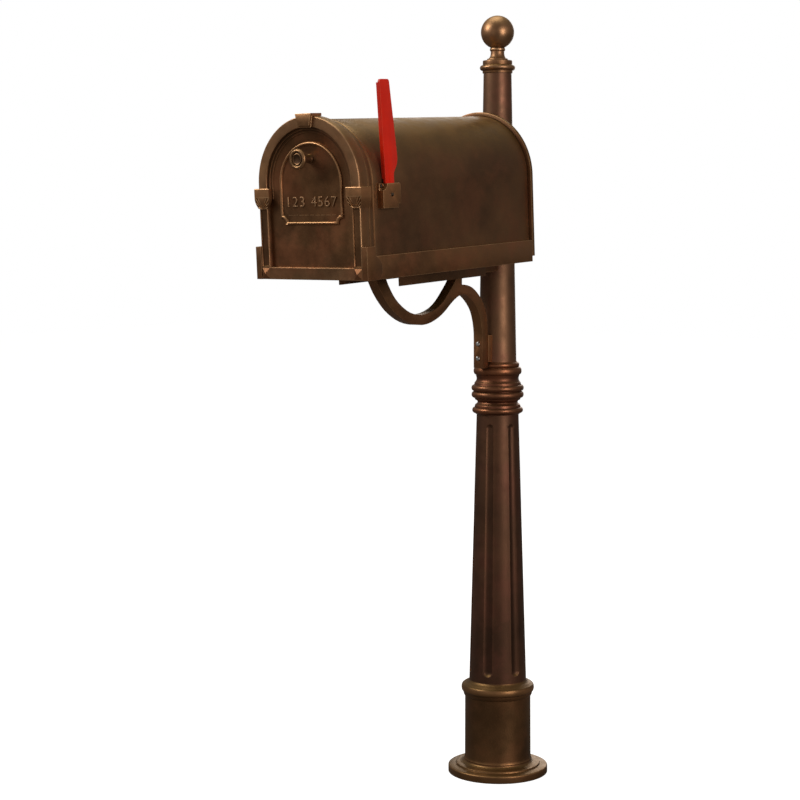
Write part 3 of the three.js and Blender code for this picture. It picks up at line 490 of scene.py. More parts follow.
def round_edge(corner, before, after, radius, wear_and_painted_light=0.6, steps=4):
    """Rounds the corner between two straight runs of a profile."""
    c, a, b = Vector(corner), Vector(before), Vector(after)
    start = c + (a - c).normalized() * radius
    end = c + (b - c).normalized() * radius
    points = []
    for k in range(steps + 1):
        t = k / steps
        spot = start * (1 - t) ** 2 + c * 2 * t * (1 - t) + end * t ** 2
        points.append((spot.x, spot.y, wear_and_painted_light * math.sin(math.pi * (0.15 + 0.7 * t))))
    return points


def arch_points(half, spring, bottom, side=None):
    """The outline of an arch as (x, z), from its lower left corner; side lists its walls' own heights."""
    heights = side or [bottom + (spring - bottom) * k / WALL_STEPS for k in range(1, WALL_STEPS)]
    heights = [max(z, bottom + 0.02 * (k + 1)) for k, z in enumerate(heights)]
    turns = [math.pi * k / ARC_STEPS for k in range(ARC_STEPS + 1)]
    points = [(-half + 2 * half * k / FLOOR_STEPS, bottom) for k in range(FLOOR_STEPS + 1)]
    points += [(half, z) for z in heights]
    points += [(half * math.cos(turn), spring + half * math.sin(turn)) for turn in turns]
    points += [(-half, z) for z in reversed(heights)]
    return points


def loft_arches(bm, rings, spring, side=None, relief=None):
    """Joins arch outlines given as (half width, bottom, y, wear).

    relief(inset, z, y) gives how far a point is pushed back, and what its wear is multiplied by.
    """
    rows = []
    widest = max(ring[0] for ring in rings)
    for half, bottom, y, wear_and_painted_light in rings:
        row = []
        for x, z in arch_points(half, spring, bottom, side):
            push, fade = relief(widest - half, z, y) if relief else (0.0, 1.0)
            row.append(add_vert(bm, (x, y + push, z), wear_and_painted_light * fade))
        rows.append(row)
    for first, second in zip(rows, rows[1:]):
        bridge(bm, first, second)
    bm.faces.new(rows[0])
    bm.faces.new(rows[-1])


def sweep_arch(bm, section, spring, bottom):
    """Sweeps a closed section of (half width, y, wear) up one wall, round the arch and down the other."""
    heights = [bottom + (spring - bottom) * k / SWEEP_WALL_STEPS for k in range(SWEEP_WALL_STEPS)]
    stations = [("right", z) for z in heights]
    stations += [("arc", math.pi * k / ARC_STEPS) for k in range(ARC_STEPS + 1)]
    stations += [("left", z) for z in reversed(heights)]
    rows = []
    for kind, value in stations:
        row = []
        for half, y, wear_and_painted_light in section:
            if kind == "arc":
                spot = (half * math.cos(value), y, spring + half * math.sin(value))
            else:
                spot = (half if kind == "right" else -half, y, value)
            row.append(add_vert(bm, spot, wear_and_painted_light))
        rows.append(row)
    for first, second in zip(rows, rows[1:]):
        bridge(bm, first, second)
    bm.faces.new(rows[0])
    bm.faces.new(rows[-1])


COPY_CREASE = 30.0                           # degrees
COPY_EDGE_WEAR_AND_HIGHLIGHT = 0.75
EDGE_MATERIAL = 1                            # marks the faces that the bevel makes


def bevelled_copy(node, width, slot, finish=None):
    """A piece of a CAD node's own shape with its edges eased, rubbed bright and given a painted highlight
    along them.
    """
    source = frame["nodes"][node]
    bm = bmesh.new()
    bm.from_mesh(source.data)
    bmesh.ops.remove_doubles(bm, verts=bm.verts, dist=2e-6)
    bmesh.ops.dissolve_limit(bm, angle_limit=math.radians(1.0), verts=bm.verts, edges=bm.edges)
    bmesh.ops.bevel(
        bm, geom=creased_edges(bm, COPY_CREASE), offset=width * MM, segments=2, profile=0.6,
        affect="EDGES", clamp_overlap=True, material=EDGE_MATERIAL)
    smooth_but_for_creases(bm, COPY_CREASE)
    mesh = bpy.data.meshes.new(node + "_shaped")
    bm.to_mesh(mesh)
    bm.free()
    # Rubbed edges with a painted highlight: the faces the bevel made are brightened.
    wear_and_painted_light = mesh.attributes.new("wear_and_painted_light", "FLOAT", "CORNER")
    for polygon in mesh.polygons:
        for loop in polygon.loop_indices:
            wear_and_painted_light.data[loop].value = COPY_EDGE_WEAR_AND_HIGHLIGHT if polygon.material_index == EDGE_MATERIAL else 0.0
        polygon.material_index = 0
    obj = linked_object(mesh.name, mesh)
    own_finish(obj, slot, finish)
    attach(obj, source["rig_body"])
    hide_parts(node)


def prism(bm, outline, y_range, wear_and_painted_light=0.0, ease=1.0, crest=0.8):
    """An x, z outline taken from front to back, with its front edges eased."""
    front, back = y_range
    corners = [Vector(point) for point in outline]
    middle = Vector((sum(p[0] for p in outline), sum(p[1] for p in outline))) / len(outline)
    shrunk = [corner + (middle - corner).normalized() * ease * 1.4 for corner in corners]
    between = [corner * 0.7 + inner * 0.3 for corner, inner in zip(corners, shrunk)]
    levels = [
        (shrunk, front, wear_and_painted_light), (between, front + ease * 0.3, crest), (corners, front + ease, crest),
        (corners, front + ease * 2, wear_and_painted_light), (corners, back, wear_and_painted_light),
    ]
    rows = [[add_vert(bm, (point.x, y, point.y), rub) for point in points] for points, y, rub in levels]
    for first, second in zip(rows, rows[1:]):
        bridge(bm, first, second)
    bm.faces.new(rows[0])
    bm.faces.new(rows[-1])


# ---- Post -----------------------------------------------------------------------------

SHAFT_BOTTOM, SHAFT_TOP = 200.0, 766.0
SHAFT_LOW_RADIUS, SHAFT_HIGH_RADIUS = 60.3, 44.0
SHAFT_BORE = 30                              # radius
RINGS_TOP, UPPER_TOP = 876.5, 1473.0
FLUTE_COUNT = 6
FLUTE_START = math.radians(15)
FLUTE_HALF_ANGLE = math.radians(9.8)
FLUTE_LOW, FLUTE_HIGH = 225.0, 739.0         # centres of the round ends
FLUTE_DEPTH_RATIO = 0.082                    # of the shaft's radius
FLUTE_RIM = 2.4


def base_flange():
    bm = new_bmesh()
    lathe(bm, [
        (62.4, 0.0, 0), (104.6, 0.0, 0.1), *round_edge((105.5, 0), (104, 0), (105.5, 2), 0.8, 0.3),
        (105.5, 9.0, 0.1), *round_edge((105.5, 15.2), (105.5, 10), (96, 16.6), 3.0, 0.3, 6),
        (97.0, 16.6, 0.05), (89.6, 17.3, 0.03), (89.2, 18.0, 0.1),
        *round_edge((88.8, 20.4), (89, 18), (85, 21), 1.0, 0.15), (85.5, 20.9, 0.15),
        *cove((84.0, 21.1), (70.8, 28.0), 8, 0.05), (62.4, 28.0, 0), (62.4, 0.0, 0),
    ])
    add_piece("base_flange_cast", bm, POST_FRAME, FIXED, "patina", ["base_flange"], finish="foot")


def base_collar():
    bm = new_bmesh()
    lathe(bm, [
        (56, 28, 0), (70.8, 28, 0.15), *round_edge((71.4, 30.4), (71.4, 28), (70.1, 33), 1.2, 0.3),
        (70.0, 36, 0), (69.5, 156, 0), *cove((69.5, 165.5), (73.2, 174.6), 8, 0.03),
        *bead(174.8, 190.6, 73.4, 77.0, 0.5, 16), (71.2, 192.4, 0.1), (66, 194.6, 0.05),
        (61.6, 197.6, 0.03), (60.6, 200, 0), (46, 200, 0), (46, 188, 0), (56, 178, 0), (56, 28, 0),
    ])
    add_piece("base_collar_cast", bm, POST_FRAME, FIXED, "patina", ["base_collar"], finish="foot")


def shaft_radius(z):
    share = (z - SHAFT_BOTTOM) / (SHAFT_TOP - SHAFT_BOTTOM)
    return SHAFT_LOW_RADIUS + (SHAFT_HIGH_RADIUS - SHAFT_LOW_RADIUS) * share


def flute_depth(turn, z):
    """How deep the nearest flute is at an angle and height, and how near its rim is."""
    pitch = 2 * math.pi / FLUTE_COUNT
    off = (turn - FLUTE_START + math.pi / 2 + pitch / 2) % pitch - pitch / 2
    radius = shaft_radius(z)
    across = off * radius
    beyond = max(FLUTE_LOW - z, 0, z - FLUTE_HIGH)
    half = FLUTE_HALF_ANGLE * radius
    reach = math.hypot(across, beyond)
    depth = FLUTE_DEPTH_RATIO * radius
    bow = (half * half + depth * depth) / (2 * depth)
    rim = max(0.0, 1 - abs(reach - half) / FLUTE_RIM)
    if reach >= half:
        return 0.0, rim
    return math.sqrt(bow * bow - reach * reach) - (bow - depth), rim


def flute_turns():
    """The angles of the shaft's columns of points, closer together in the flutes than on the lands."""
    pitch = 2 * math.pi / FLUTE_COUNT
    land = pitch - 2 * FLUTE_HALF_ANGLE
    turns = []
    for k in range(FLUTE_COUNT):
        centre = FLUTE_START - math.pi / 2 + k * pitch
        turns += [centre + FLUTE_HALF_ANGLE * (j / 8) for j in range(-8, 9)]
        turns += [centre + FLUTE_HALF_ANGLE + land * j / 10 for j in range(1, 10)]
    return turns


def fluted_shaft():
    """The lower shaft, with levels set close together where its flutes end, and a bore down its middle."""
    bm = new_bmesh()
    turns = flute_turns()
    heights = [200.0, 203, 208] + [212 + j for j in range(0, 20)]
    heights += [240 + 16 * j for j in range(0, 31)]
    heights += [730 + j for j in range(0, 20)] + [754, 762, 766]
    rows = []
    for z in heights:
        row = []
        for turn in turns:
            depth, rim = flute_depth(turn, z)
            radius = shaft_radius(z) - depth
            # Painted highlight along the flutes' rims and painted shade in their hollows.
            wear_and_painted_light = 0.07 * rim - 0.1 * depth
            row.append(add_vert(bm, (radius * math.cos(turn), radius * math.sin(turn), z), wear_and_painted_light))
        rows.append(row)
    for first, second in zip(rows, rows[1:]):
        bridge(bm, first, second)
    round_bore = [(SHAFT_BORE * math.cos(turn), SHAFT_BORE * math.sin(turn)) for turn in turns]
    bores = []
    for z, end in ((SHAFT_TOP, rows[-1]), (SHAFT_BOTTOM, rows[0])):
        bore = [add_vert(bm, (x, y, z)) for x, y in round_bore]
        bridge(bm, end, bore)
        bores.append(bore)
    bridge(bm, *bores)
    add_piece("fluted_shaft_cast", bm, POST_FRAME, FIXED, "patina", ["fluted_shaft"], 45, "lower_shaft_painted_shade")


def ring_collar():
    bm = new_bmesh()
    lathe(bm, [
        (36, 766, 0), (46.0, 766, 0), (47.4, 767.4, 0.1), *bead(768, 780, 48.2, 53.3, 0.25),
        (48.2, 781.2, 0), *round_edge((47.4, 785.6), (48.0, 782), (44, 787), 1.2, 0.15),
        (43.0, 788.6, 0), (42.0, 791.4, 0), (43.4, 794.0, 0),
        *round_edge((47.2, 795.6), (44, 795), (48.0, 799), 1.2, 0.15), (48.2, 799.4, 0),
        *bead(800, 813.2, 49.4, 54.7, 0.25), *bead(814.2, 827.0, 49.4, 54.9, 0.25),
        (49.0, 828, 0), *round_edge((48.2, 832.6), (49, 829), (45, 834), 1.2, 0.15),
        (44.8, 836.5, 0), (43.9, 841.0, 0), (45.0, 845.5, 0), *bead(848.8, 864.0, 46.0, 50.4, 0.3),
        (45.0, 865.0, 0), *bead(865.2, 873.2, 43.6, 45.5, 0.2), (41.6, 874.4, 0), (40.2, 876.5, 0),
        (36, 876.5, 0), (36, 766, 0),
    ])
    add_piece("ring_collar_cast", bm, POST_FRAME, FIXED, "red_bronze", ["ring_collar"])


def upper_shaft():
    bm = new_bmesh()
    rungs = 30
    low, high, bore = 39.2, 28.9, 24.7
    outside = []
    for k in range(rungs + 1):
        share = k / rungs
        outside.append((low + (high - low) * share, RINGS_TOP + (UPPER_TOP - RINGS_TOP) * share, 0.0))
    lathe(bm, [(bore, RINGS_TOP, 0), *outside, (bore, UPPER_TOP, 0), (bore, RINGS_TOP, 0)])
    add_piece("upper_shaft_cast", bm, POST_FRAME, FIXED, "patina", ["upper_shaft"], finish="shaft")


def top_cap():
    bm = new_bmesh()
    # Part of the cap's brightness in its profile is painted light from above; the rest is rubbed beads and
    # edges.
    lathe(bm, [
        (4.3, 1473, 0), (29.8, 1473, 0), *round_edge((31, 1473), (29, 1473), (31, 1476), 0.8, 0.3),
        (31, 1477.4, 0.2), *bead(1478.4, 1489.2, 31.6, 36.5, 0.4), (30.5, 1490, 0),
        *round_edge((30.5, 1498.6), (30.5, 1492), (24, 1499.6), 1.2, 0.4), (24.0, 1499.4, 0.1),
        *round_edge((21.8, 1500.2), (24, 1500.0), (21.4, 1503), 0.6, 0.5),
        *cove((21.2, 1502.4), (14.0, 1514.0), 8, 0.25), (13.9, 1517.6, 0.25),
        *bead(1518.2, 1524.4, 14.4, 15.9, 0.8, 8), (14.6, 1525, 0), (4.3, 1525, 0), (4.3, 1473, 0),
    ])
    add_piece("top_cap_cast", bm, POST_FRAME, FIXED, "casting", ["top_cap"])


def ball_finial():
    bm = new_bmesh()
    centre, radius, seat = 1556.5, 34.3, 1525.0
    low = math.asin((seat - centre) / radius)
    profile = [(0, 1545, 0), (4.3, 1545, 0), (4.3, seat, 0)]
    # Painted light: the whole ball is evenly brightened, as by the lamp above the post.
    for k in range(41):
        turn = low + (math.pi / 2 - low) * k / 40
        profile.append((radius * math.cos(turn) if k < 40 else 0.0, centre + radius * math.sin(turn), 0.25))
    lathe(bm, profile)
    add_piece("ball_finial_cast", bm, POST_FRAME, FIXED, "casting", ["ball_finial"])


# ---- Mailbox --------------------------------------------------------------------------

BOX_SPRING = 174.1
DOOR_SPRING = 177.8
DOOR_HALF = 123.4
PANEL_FACE = 9.0


def box_shell():
    bm = new_bmesh()
    sweep_arch(bm, [
        (120.9, 28.2, 0), *[(120.9, 60 + 58 * k, 0) for k in range(9)], (120.9, 534.8, 0),
        (120.3, 535.4, 0), (118.5, 535.4, 0), (117.9, 534.8, 0), (117.9, 28.0, 0), (118.5, 27.4, 0),
        (120.3, 27.4, 0),
    ], BOX_SPRING, 5.0)
    add_piece("box_shell_sheet", bm, BOX_FRAME, FIXED, "patina", ["box_shell"])


def front_hood():
    bm = new_bmesh()
    sweep_arch(bm, [
        (113.0, 25.6, 0), (113.6, 25.0, 0.1), (122.0, 25.0, 0.1), (122.7, 25.5, 0.15), (122.9, 26.4, 0.05),
        (122.9, 33.0, 0.0), (122.5, 33.6, 0.0), (122.5, 39.0, 0.0), (122.9, 39.8, 0.05),
        (122.9, 43.0, 0.12), (122.6, 43.8, 0.12), (121.9, 44.0, 0.05), (121.2, 44.0, 0.0),
        (121.2, 27.1, 0), (113.0, 27.1, 0),
    ], BOX_SPRING, 2.0)
    add_piece("front_hood_cast", bm, BOX_FRAME, FIXED, "casting", ["front_hood"])


def rear_plate():
    bm = new_bmesh()
    base = 10.9
    # The bright values on the rim's outer corners paint a thin highlight along it.
    loft_arches(bm, [
        (121.3, base + 0.4, 535.8, 0), (121.3, base + 0.4, 531.7, 0), (121.9, base + 0.3, 531.0, 0.0),
        (127.7, base + 0.2, 531.0, 0.0), (128.6, base + 0.1, 531.4, 0.4), (129.0, base, 532.4, 0.15),
        (129.0, base, 537.0, 0.0), (128.8, base, 538.3, 0.6), (127.8, base + 0.4, 539.0, 0.6),
        (122.4, base + 5.4, 539.0, 0.1), (121.6, base + 6.2, 538.4, 0.3), (121.0, base + 6.8, 537.4, 0),
    ], BOX_SPRING)
    add_piece("rear_plate_cast", bm, BOX_FRAME, FIXED, "casting", ["rear_plate"], finish="patina")


# ---- Door -----------------------------------------------------------------------------

BAND = 20.0
RAIL_HEIGHT = 23.0
CAPITAL_FOOT = 132.0
FIELD_TOP = 150.0
DOOR_MIDDLE = 12.0                           # y that parts the front's steps from the turned-back edge
PILASTER_SINK = 1.9
CHAMFER_START = 18.0                         # y where the chamfer of the lower rear edge begins
PILASTER_HEIGHTS = [23.6, 24.6, 25.8, 48, 70, 92, 112, 130.2, 131.2, 140, 149.5, 150.5, 160, 168]


def bottom_for(inset):
    """How high the bottom run of an inset outline lies: the rail is a little wider than the band."""
    if inset <= BAND:
        return inset * RAIL_HEIGHT / BAND
    return RAIL_HEIGHT + inset - BAND


def door_relief(inset, z, y):
    """The sunk flat down each pilaster, darkened through with dark patina and painted shade, and the plain
    field of the panel between the pilasters.
    """
    if inset > BAND + 0.05 and z < FIELD_TOP and y < DOOR_MIDDLE:
        return PANEL_FACE - y, 0.1
    if y < 1.0 and 2.4 < inset < 17.9 and 25.2 < z < 130.8:
        return PILASTER_SINK, -2.5
    return 0.0, 1.0


def door_casting():
    """The door, lofted through steps of (inset, y, wear) from its rear edge round to the panel's face."""
    bm = new_bmesh()
    # The negative values put painted shade in the steps of the arch's recess; the positive ones rub edges
    # bright and paint highlights on them.
    profile = [
        (4.0, 13.0, 0), (4.0, 23.3, 0), (3.4, 24.0, 0.1), (0.9, 24.0, 0.2), (0.2, 23.6, 0.4),
        (0.0, 22.6, 0.1), (0.0, 8.0, 0.0), (0.0, 2.2, 0.1), (0.2, 1.0, 0.35), (0.7, 0.25, 0.7),
        (1.3, 0.0, 0.5), (2.0, 0.0, 0.2), (2.6, 0.0, 0.2), (8.0, 0.0, 0.17), (12.5, 0.0, 0.17),
        (17.6, 0.0, 0.1), (18.3, 0.0, 0.15), (18.9, 0.02, 0.35), (19.6, 0.3, 0.4), (20.0, 1.2, 0.15),
        (20.1, 4.1, -0.7), (20.6, 4.5, -0.6), (24.2, 4.5, -0.2), (24.8, 4.75, 0.5), (25.0, 5.4, 0.1),
        (25.1, 6.7, -0.7), (25.5, 7.0, -0.6), (29.2, 7.0, -0.2), (29.8, 7.25, 0.4), (30.0, 7.8, 0.1),
        (30.1, 8.7, -0.5), (30.6, 9.0, 0.0),
    ]
    rings = []
    for inset, y, wear_and_painted_light in profile:
        bottom = bottom_for(inset) if y < DOOR_MIDDLE else inset
        rings.append((DOOR_HALF - inset, bottom, y, wear_and_painted_light))
    loft_arches(bm, rings, DOOR_SPRING, PILASTER_HEIGHTS, door_relief)
    for side in (-1, 1):
        nailhead(bm, side * (DOOR_HALF - BAND / 2), RAIL_HEIGHT / 2)
    for vert in bm.verts:
        if vert.co.y > CHAMFER_START:
            vert.co.z = max(vert.co.z, vert.co.y - CHAMFER_START)
    add_piece("door_casting", bm, BOX_FRAME, DOOR, "casting", ["door_panel"])


def nailhead(bm, x, z):
    """A four-sided nail-head on the door's lower corner, its facets given painted light and painted shade.
    """
    half_x, half_z, rise = 9.0, 9.8, 3.4
    foot = [(-half_x, -half_z), (half_x, -half_z), (half_x, half_z), (-half_x, half_z)]
    # Painted light and shade: the right facet is lit up a little and the left one darkened.
    painted_light_of_facets = (0.0, 0.1, 0.0, -0.1)       # low, right, high and left
    for k, wear_and_painted_light in enumerate(painted_light_of_facets):
        (xa, za), (xb, zb) = foot[k], foot[(k + 1) % 4]
        corners = [(x + xa, -0.05, z + za), (x + xb, -0.05, z + zb), (x, -rise, z)]
        bm.faces.new([add_vert(bm, corner, wear_and_painted_light) for corner in corners])
    bm.faces.new([add_vert(bm, (x + a, 0.3, z + b)) for a, b in foot])


PLAQUE_HALF, PLAQUE_BOTTOM, PLAQUE_NOTCH = 76.5, 102.0, 12.0


def plaque_outline(inset):
    """Round the plaque: an arch on straight sides with inward quarter rounds cut from its lower corners."""
    half, bottom, notch = PLAQUE_HALF - inset, PLAQUE_BOTTOM + inset, PLAQUE_NOTCH
    quarter = [math.pi / 2 * k / 8 for k in range(9)]
    corner = [(notch * math.cos(turn), notch * math.sin(turn)) for turn in quarter]
    crown = [math.pi * k / 80 for k in range(81)]
    rise = DOOR_SPRING - bottom - notch
    points = [(-half + notch + (2 * half - 2 * notch) * k / 12, bottom) for k in range(12)]
    points += [(half - across, bottom + up) for across, up in corner]
    points += [(half, bottom + notch + rise * k / 8) for k in range(1, 8)]
    points += [(half * math.cos(turn), DOOR_SPRING + half * math.sin(turn)) for turn in crown]
    points += [(-half, bottom + notch + rise * (8 - k) / 8) for k in range(1, 8)]
    points += [(-half + up, bottom + across) for across, up in corner]
    return points


def plaque_frame():
    bm = new_bmesh()
    width, rise, back = 5.5, 3.0, PANEL_FACE - 0.3
    rows = []
    # The crest is brightened: rubbed metal with a painted highlight.
    for k in range(11):
        turn = math.pi * k / 10
        inset = width * (1 - math.cos(turn)) / 2
        y = back - rise * math.sin(turn)
        rows.append([add_vert(bm, (x, y, z), 0.3 * math.sin(turn) ** 2) for x, z in plaque_outline(inset)])
    for first, second in zip(rows, rows[1:]):
        bridge(bm, first, second)
    bridge(bm, rows[-1], rows[0])
    add_piece("plaque_frame_bead", bm, BOX_FRAME, DOOR, "rubbed", ["plaque_frame"], sharp=60)


KEYSTONE_TOP = 305.6


def keystone():
    bm = new_bmesh()
    tablet = [(-13.6, 283.4), (13.6, 283.4), (19.4, KEYSTONE_TOP), (-19.4, KEYSTONE_TOP)]
    block = [(-15.6, 279.6), (15.6, 279.6), (20.0, 303.5), (-20.0, 303.5)]
    prism(bm, tablet, (-6.5, -2.6), 0.15, 0.9)
    prism(bm, block, (-3.2, -0.3), 0.1, 0.8)
    strap(bm, 20.0, -3.0, 23.5)
    add_piece("keystone_carved", bm, BOX_FRAME, DOOR, "rubbed", ["keystone"])


def strap(bm, half, front, back):
    """The keystone's flat top, lapped back over the crown of the arch."""
    steps = 12
    crown = DOOR_HALF + 0.4
    across = [-half + 2 * half * k / steps for k in range(steps + 1)]
    rows = []
    for y, wear_and_painted_light, drop in ((front, 0.2, 0.0), (back - 0.8, 0.2, 0.0), (back, 0.8, 0.6)):
        row = [add_vert(bm, (x, y, KEYSTONE_TOP - drop), wear_and_painted_light) for x in across]
        for x in reversed(across):
            row.append(add_vert(bm, (x, y, DOOR_SPRING + math.sqrt(crown ** 2 - x ** 2))))
        rows.append(row)
    for first, second in zip(rows, rows[1:]):
        bridge(bm, first, second)
    bm.faces.new(rows[0])
    bm.faces.new(rows[-1])


CAPITAL_LIP = 152.5
CARVING_DEPTH = 2.8
LEAF_VEINS = 7.5                             # how closely the leaves of the fan are set
SHIELD_LEAN = 0.42                           # lean in radians at which the plain shield ends
BOWL_STEPS = 28
BAND_INSIDE = 103.1                          # x just inside the band's inner edge
TRIM_GAP = 0.35
RECESS_REACH = 4.1                           # how far back trim may go inside the band


def capital(side):
    """A square block over a bowl that draws in to the pilaster, its front carved with a fan of leaves."""
    bm = new_bmesh()
    rows = []
    for k in range(BOWL_STEPS + 1):
        t = k / BOWL_STEPS
        rows.append(capital_row(bm, CAPITAL_FOOT + (CAPITAL_LIP - CAPITAL_FOOT) * t, t, 0.0, None))
    block = (
        (152.8, 0.0, 0.7), (153.6, 0.0, 0.3), (155.0, 0.0, 0.12), (168.6, 0.0, 0.12), (169.4, 0.1, 0.7),
        (170.0, 0.8, 0.7),
    )
    for z, shrink, wear_and_painted_light in block:
        rows.append(capital_row(bm, z, 1.0, shrink, wear_and_painted_light))
    for first, second in zip(rows, rows[1:]):
        bridge(bm, first, second)
    bm.faces.new(rows[0])
    bm.faces.new(rows[-1])
    for vert in bm.verts:
        clear_the_door(vert)
        vert.co.x *= side
    name = "right" if side > 0 else "left"
    add_piece(f"capital_{name}_carved", bm, BOX_FRAME, DOOR, "rubbed", [f"capital_{name}"], sharp=50)


def capital_row(bm, z, t, shrink, wear_and_painted_light):
    """One level of a capital, from the inner rear corner round the front to the outer rear corner.

    t is the height up the bowl, from 0 to 1. The front is carved where no wear is given.
    """
    bowl = (1 - t) ** 2
    left, right = 94.5 + 9.2 * bowl + shrink, 130.9 - 6.4 * bowl - shrink
    near, back = -4.5 + 3.9 * bowl + shrink, 24.4 - shrink
    edge = wear_and_painted_light if wear_and_painted_light is not None else 0.25
    row = []
    for k in range(7):
        row.append(add_vert(bm, (left, back + (near - back) * k / 6, z), edge if k == 6 else 0.05))
    for k in range(1, 48):
        share = k / 48
        sink, bright = leaf_fan(2 * share - 1, t) if wear_and_painted_light is None else (0.0, wear_and_painted_light)
        row.append(add_vert(bm, (left + (right - left) * share, near + sink, z), bright))
    for k in range(13):
        row.append(add_vert(bm, (right, near + (back - near) * k / 12, z), edge if k == 0 else 0.05))
    return row


def leaf_fan(across, up):
    """Cut depth and rub on the carved bell, with a painted highlight along the veins and painted shade in
    the cuts: veins fan out from its foot on both sides of a plain shield.
    """
    lean = abs(math.atan2(across * 1.25, up + 0.12))
    shield = min(1.0, max(0.0, (lean - SHIELD_LEAN) / 0.1))
    side_border = min(1.0, max(0.0, (0.97 - abs(across)) / 0.06))
    border = side_border * min(1.0, up / 0.08) * min(1.0, (1.0 - up) / 0.05)
    vein = 0.5 - 0.5 * math.cos(LEAF_VEINS * math.pi * (lean - SHIELD_LEAN))
    cut = shield * border * (1 - vein)
    return CARVING_DEPTH * cut, 0.1 + 1.1 * shield * border * vein ** 2 - 0.5 * cut


def clear_the_door(vert):
    """Keeps a point of the trim off the door casting: it stops short of the band's face."""
    if vert.co.y > -TRIM_GAP and BAND_INSIDE < vert.co.x < DOOR_HALF + TRIM_GAP:
        vert.co.y = -TRIM_GAP
    if vert.co.x <= BAND_INSIDE:
        vert.co.y = min(vert.co.y, RECESS_REACH)


KNOB_HEIGHT = 223.0


def out_of_the_door(across, up, y):
    """Where a turned point lies when its axis is the knob's."""
    return across, y, KNOB_HEIGHT + up


def door_knob():
    bm = new_bmesh()
    face = -28.5
    # Painted shade darkens the dish at the knob's centre and the groove round it.
    lathe(bm, [
        (0, face + 1.9, -0.5), (8.2, face + 1.9, -0.7), (8.9, face + 1.5, 0.1), (9.6, face + 1.2, 0.25),
        (10.3, face + 1.5, 0.1), (10.8, face + 2.6, -0.8), (11.9, face + 2.9, -0.8),
        (12.6, face + 2.0, 0.0), (13.4, face + 0.8, 0.3), (14.6, face + 0.1, 0.5), (15.8, face, 0.5),
        (17.2, face + 0.6, 0.4), (18.3, face + 2.0, 0.5), (18.85, face + 4.2, 0.35),
        (18.6, face + 6.4, 0.2), (17.4, face + 8.4, 0.1), (14.6, face + 10.0, 0.0),
        (10.6, face + 11.0, 0.0), (8.2, face + 12.6, 0.0), (7.3, face + 15.0, 0.0), (7.3, 5.0, 0.0),
        (7.6, 6.2, 0.0), (8.3, 6.8, 0.1), (8.4, 8.6, 0.0), (2.8, 8.7, 0.0), (2.8, -10.0, 0.0),
        (0, -10.0, 0.0),
    ], out_of_the_door)
    add_piece("door_knob_turned", bm, BOX_FRAME, DOOR, "rubbed", ["door_knob"], finish="patina")


def fit_to(bm, x_range, y_range, z_range):
    """Stretches and moves a mesh so that it fills a box."""
    for axis, (low, high) in enumerate((x_range, y_range, z_range)):
        have = [vert.co[axis] for vert in bm.verts]
        least, most = min(have), max(have)
        for vert in bm.verts:
            vert.co[axis] = low + (vert.co[axis] - least) * (high - low) / (most - least)


NUMERAL_DEPTHS = (7.2, 9.1)                  # y of the numerals' faces and of their feet
NUMERAL_SHOULDER = 8.0                       # y that parts the rubbed faces from the rest
NUMERAL_HEIGHTS = (135.0, 153.5)


def numeral_group(name, digits, x_range):
    """Raised cast numerals that stand out of the panel."""
    data = bpy.data.curves.new(name, "FONT")
    data.body = digits
    data.size = 20
    data.extrude = 1.0
    data.bevel_depth = 0.12
    data.offset = -0.3
    data.bevel_resolution = 2
    data.space_character = 1.12
    text = bpy.data.objects.new(name + "_outline", data)
    bpy.context.scene.collection.objects.link(text)
    bpy.context.view_layer.update()
    mesh = bpy.data.meshes.new_from_object(text)
    bm = bmesh.new()
    bm.from_mesh(mesh)
    bmesh.ops.remove_doubles(bm, verts=bm.verts, dist=1e-4)
    bpy.data.objects.remove(text)
    bpy.data.meshes.remove(mesh)
    bmesh.ops.transform(bm, matrix=Matrix.Rotation(math.pi / 2, 4, "X"), verts=bm.verts)
    fit_to(bm, x_range, NUMERAL_DEPTHS, NUMERAL_HEIGHTS)
    wear_and_painted_light = bm.verts.layers.float.new("wear_and_painted_light")
    for vert in bm.verts:
        vert[wear_and_painted_light] = 0.9 if vert.co.y < NUMERAL_SHOULDER else 0.2
    add_piece(name, bm, BOX_FRAME, DOOR, "casting")


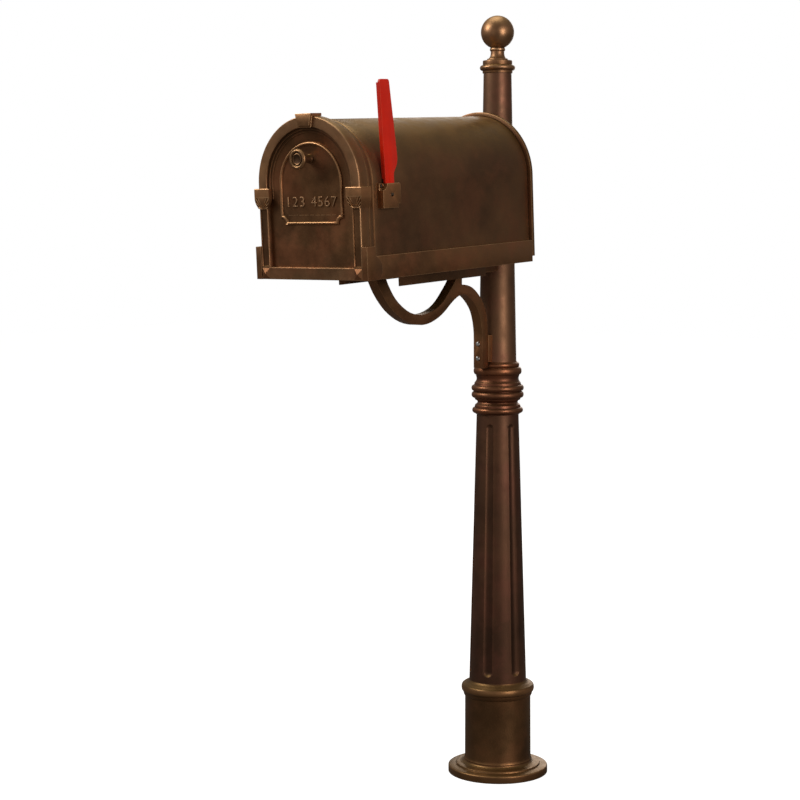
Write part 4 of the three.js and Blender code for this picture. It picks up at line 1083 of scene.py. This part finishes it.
def raised_rule():
    """A thin raised rule under the numerals, broken into short dashes."""
    bm = new_bmesh()
    dashes, width, gap = 9, 117.0, 3.0
    foot, head = 118.6, 120.2
    step = (width + gap) / dashes
    for k in range(dashes):
        low = -width / 2 + k * step
        high = low + step - gap
        dash = [(low, foot), (high, foot), (high, head), (low, head)]
        prism(bm, dash, (8.5, 9.1), 0.25, 0.15, 0.35)
    add_piece("plaque_rule", bm, BOX_FRAME, DOOR, "casting")


# ---- Assembly -------------------------------------------------------------------------

# CAD nodes copied with eased edges: bevel width in mm, slot, and a finish if it isn't the slot's own
EASED = {
    "scroll_bracket": (1.6, "patina", "casting"), "saddle_plate": (0.6, "rubbed"),
    "mount_arm": (1.2, "patina"), "mount_channel": (0.6, "patina"), "floor_panel": (0.4, "patina"),
    "side_rail_left": (0.7, "patina", "casting"), "side_rail_right": (0.7, "patina", "casting"),
    "hinge_lug_left": (0.8, "casting"), "hinge_lug_right": (0.8, "casting"),
    "flag_bracket": (0.6, "rubbed"), "flag_blade": (0.8, "flag_red"), "door_catch": (0.3, "steel"),
    "catch_clip": (0.2, "steel"), "base_plate": (0.8, "steel"),
}
# CAD nodes that keep their own shape
AS_DRAWN = [
    "core_pipe", "pipe_plug", "finial_stud", "leg_screw_lower", "leg_screw_upper", "flag_rivet",
    "flag_bracket_screw", "floor_screw_front_left", "floor_screw_front_right", "floor_screw_rear_left",
    "floor_screw_rear_right", "hinge_pin_left", "hinge_pin_right", "knob_screw",
]

add_camera()
add_world()
add_floor()
add_lights()

base_flange()
base_collar()
fluted_shaft()
ring_collar()
upper_shaft()
top_cap()
ball_finial()
box_shell()
front_hood()
rear_plate()
door_casting()
plaque_frame()
keystone()
capital(-1)
capital(1)
door_knob()
numeral_group("numerals_left", "123", (-58.0, -17.0))
numeral_group("numerals_right", "4567", (0.0, 61.5))
raised_rule()
for node, how in EASED.items():
    bevelled_copy(node, *how)
for node in AS_DRAWN:
    blackened = node.startswith("flag_")
    own_finish(frame["nodes"][node], "steel", "dark_steel" if blackened else None)
